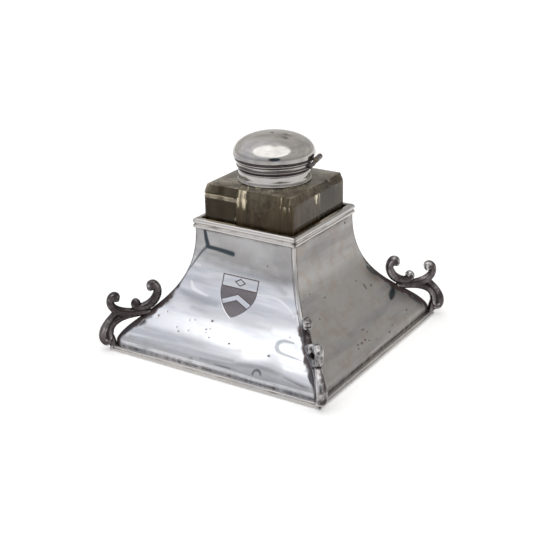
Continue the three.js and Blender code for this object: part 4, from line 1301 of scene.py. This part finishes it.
def dome(radius, rise, steps, flatness=2.05):
    """From the edge to the crown of a slightly flattened dome."""
    turn = np.linspace(0, math.pi / 2, steps)
    reach = radius * np.cos(turn) ** (2 / flatness)
    up = rise * np.sin(turn) ** (2 / flatness)
    return list(zip(np.maximum(reach, 1e-7), widest + up))


def lid_profile():
    outer = dome(LID_RADIUS, lid_hi.z - widest, 48)
    inner = dome(LID_RADIUS - LID_SHEET, lid_hi.z - widest - LID_SHEET, 32)
    edge = arc(LID_RADIUS - 0.7 * MM, widest - 0.6 * MM, 0.7 * MM, -2.0, 0, 9, tall=0.78 * MM)
    lower = [(LID_RADIUS - LID_SHEET - 0.8 * MM, lid_lo.z + 0.05 * MM)]
    return inner[::-1] + lower + edge + outer


LID_FINISH = plate_finish("lid_plate", (0.56, 0.54, 0.52), (0.30, 0.285, 0.28), 0.09)
profile = lid_profile()
points, faces = turned(profile, 9.7, 0.05 * MM, 160, loop=False)
KNOCKS = [  # in mm: place, radius and depth
    (0.2, -2.0, 2.0, 0.22), (6, 3, 4.5, 0.16), (-11, -9, 3.5, 0.12), (9, -13, 3.0, 0.12),
    (2, 12, 3.5, 0.12),
]
for x, y, reach, depth in KNOCKS:
    away = np.hypot(points[:, 0] - x * MM, points[:, 1] - y * MM) / (reach * MM)
    points[:, 2] -= depth * MM * np.clip(1 - away**2, 0, 1) ** 2
x, y, z = points.T
tarnish = np.exp(-((np.hypot(x - 8.4 * MM, y + 1.8 * MM) / (5 * MM)) ** 2))
tarnish *= 0.9 + 1.1 * cloud(x, y, 0, 3 * MM, 5.5)
# Darker in the front dent.
dent = np.exp(-((np.hypot(x - 0.2 * MM, y + 2 * MM) / (1.0 * MM)) ** 2))
# Painted shade under the lid's rolled edge.
under = np.clip((lid_lo.z + 0.5 * MM - z) / (0.4 * MM), 0, 1)
# A painted dark reflection round the lower band of the dome.
low = np.clip((widest + 3.4 * MM - z) / (3 * MM), 0, 1) * (0.75 + 0.5 * cloud(x, y, z, 5 * MM, 1.9))
tarnish_and_shade = np.clip(0.62 * tarnish + 1.2 * dent + 0.8 * under, 0, 1)
build(
    "domed_lid", points, faces, "lid", ["lid_shell"], LID_FINISH, sharp=50,
    masks={"tarnish_and_shade": tarnish_and_shade, "painted_dark_reflection": np.clip(low, 0, 1)},
)

profile = (
    [(BEZEL_RADIUS - BEZEL_WALL, bezel_lo.z), (BEZEL_RADIUS - 0.9 * MM, bezel_lo.z)]
    + arc(BEZEL_RADIUS - 0.55 * MM, bezel_lo.z + 0.55 * MM, 0.55 * MM, -math.pi / 2, 1.1, 8)
    + [(BEZEL_RADIUS - 0.45 * MM, bezel_lo.z + 1.15 * MM)]
    + arc(BEZEL_RADIUS - 0.4 * MM, bezel_hi.z - 0.4 * MM, 0.4 * MM, -1.0, math.pi / 2, 7)
    + [(BEZEL_RADIUS - BEZEL_WALL, bezel_hi.z)]
)
points, faces = turned(profile, 2.9)
masks = ring_mask(
    profile,
    [
        (BEZEL_RADIUS - 0.5 * MM, bezel_lo.z + 1.2 * MM, 0.4 * MM, 1.6),
        (BEZEL_RADIUS - 0.4 * MM, bezel_hi.z, 0.45 * MM, 1.3),
        (BEZEL_RADIUS - 1 * MM, bezel_lo.z, 0.5 * MM, 0.7),
    ],
)
build(
    "lid_ring", points, faces, "lid", ["lid_bezel"], SPUN_FINISH, sharp=50,
    masks=masks,
)

LINER_FINISH = plate_finish("liner_plate", (0.42, 0.39, 0.34), (0.3, 0.28, 0.24), 0.30)
liner_radius = liner_hi.x
rise = liner_hi.z - liner_lo.z - LINER_SHEET
reach = np.linspace(0, 1, 30)
fall = rise * (0.5 + 0.5 * np.cos(math.pi * np.clip(reach / 0.93, 0, 1)))
under = list(zip(np.maximum(reach * liner_radius, 1e-7), liner_lo.z + fall))
above = list(zip(np.maximum(reach * liner_radius, 1e-7), liner_lo.z + LINER_SHEET + fall))
points, faces = turned(under + above[::-1], 7.2, 0.05 * MM, loop=False)
masks = ring_mask(under + above, [(liner_radius, liner_lo.z, 1.5 * MM, 1.0)])
build(
    "dished_liner", points, faces, "lid", ["lid_liner"], LINER_FINISH, sharp=60,
    masks=masks,
)


# ---- Hinge ----
# Three silver-plated knuckles with bent leaves, two on the collar and one on the lid, on a
# brass pin with its ends lightly riveted over.
HINGE_BEARING = math.radians(13)
HINGE_REACH = 25.5 * MM
HINGE_Z = bezel_hi.z
KNUCKLE = 1.6 * MM
KNUCKLE_LENGTH = 2.4 * MM
HINGE_GAP = 0.3 * MM
PIN_HOLE = 0.7 * MM
PIN_RADIUS = 0.6 * MM
LEAF = 1.3 * MM
EASE = 0.22 * MM


def hinge_place(points):
    """Points drawn as (out, along, up) about the hinge, in the part's frame."""
    turn = np.array(Matrix.Rotation(HINGE_BEARING, 3, "Z"))
    return (points + np.array([HINGE_REACH, 0, HINGE_Z])) @ turn.T


def knuckle(leaf_top, leaf_foot, near, far):
    """A barrel with a leaf that leaves it on the inner side, between two places along it."""
    start = math.atan2(leaf_top[0][1], leaf_top[0][0]) % (2 * math.pi)
    end = math.atan2(leaf_foot[-1][1], leaf_foot[-1][0]) % (2 * math.pi) - 2 * math.pi
    barrel = arc(0, 0, KNUCKLE, start, end, 30)
    outline = np.array(barrel + leaf_foot[::-1] + leaf_top[::-1])
    hole = np.array(arc(0, 0, PIN_HOLE, 0, 2 * math.pi, 21)[:-1])
    from_axis = np.linalg.norm(outline, axis=1)
    eased = [(0, EASE), (EASE * 0.3, EASE * 0.3), (EASE, 0)]
    loops = []
    for along, inset in [(near + a, i) for a, i in eased] + [(far - a, i) for a, i in eased[::-1]]:
        flat = outline * np.minimum(1, 1 - inset / from_axis)[:, None]
        loops.append(np.stack([flat[:, 0], np.full(len(flat), along), flat[:, 1]], -1))
    number = np.arange(len(loops) * len(outline)).reshape(len(loops), -1)
    beside = np.roll(number, -1, axis=1)
    faces = np.stack([number[:-1], beside[:-1], beside[1:], number[1:]], -1).reshape(-1, 4).tolist()
    bore = [np.stack([hole[:, 0], np.full(len(hole), at), hole[:, 1]], -1) for at in (near, far)]
    bored = np.arange(2 * len(hole)).reshape(2, -1) + number.size
    turned_on = np.roll(bored, -1, axis=1)
    faces += np.stack([bored[0], bored[1], turned_on[1], turned_on[0]], -1).tolist()
    for end in (0, -1):
        edges = [[Vector((x, z, 0)) for x, _, z in ring] for ring in (loops[end], bore[end][::-1])]
        index = number[end].tolist() + bored[end, ::-1].tolist()
        faces += [[index[i] for i in triangle] for triangle in tessellate_polygon(edges)]
    return np.concatenate(loops + bore), faces


HINGE_FINISH = plate_finish("hinge_plate", (0.15, 0.135, 0.13), (0.1, 0.09, 0.085), 0.24)
outer_near = KNUCKLE_LENGTH / 2 + HINGE_GAP
outer_far = outer_near + KNUCKLE_LENGTH
wall = COLLAR_HEAD + HINGE_GAP / 2 - HINGE_REACH
lap = collar_hi.z - HINGE_Z
fixed_top = [
    (-1.1 * MM, -1.16 * MM), (-2.3 * MM, lap - 0.35 * MM),
    (wall + 0.25 * MM, lap - 0.7 * MM), (wall, lap - 0.9 * MM),
]
fixed_foot = [
    (wall, lap - 3.2 * MM), (wall + 0.9 * LEAF, lap - 3.2 * MM),
    (wall + 1.1 * LEAF, lap - 2.6 * MM), (0.35 * MM, -1.56 * MM),
]
for side, near, far in (("right", outer_near, outer_far), ("left", -outer_far, -outer_near)):
    points, faces = knuckle(fixed_top, fixed_foot, near, far)
    build(
        "fixed_knuckle_" + side, hinge_place(points), faces, "well", ["collar_knuckle_" + side],
        HINGE_FINISH, sharp=35,
    )
bezel_wall = BEZEL_RADIUS + HINGE_GAP / 2 - HINGE_REACH
lid_top = [(-1.55 * MM, -0.25 * MM), (bezel_wall, -0.25 * MM)]
lid_foot = [(bezel_wall, -0.2 * MM - LEAF), (-0.5 * MM, -0.2 * MM - LEAF)]
points, faces = knuckle(lid_top, lid_foot, -KNUCKLE_LENGTH / 2, KNUCKLE_LENGTH / 2)
build(
    "lid_barrel", hinge_place(points), faces, "lid", ["lid_knuckle"],
    HINGE_FINISH, sharp=35,
)

pin_half = 1.5 * KNUCKLE_LENGTH + HINGE_GAP
riveted = arc(0, pin_half - 0.25 * MM, PIN_RADIUS, 0, math.pi / 2, 7, tall=0.25 * MM)
profile = [(max(r, 1e-7), -z) for r, z in riveted[::-1]] + [(max(r, 1e-7), z) for r, z in riveted]
points, faces = turned(profile, 1.1, 0, 32, loop=False)
points = points[:, [0, 2, 1]]
build("hinge_rod", hinge_place(points), faces, "well", ["hinge_pin"], old_brass, sharp=50)
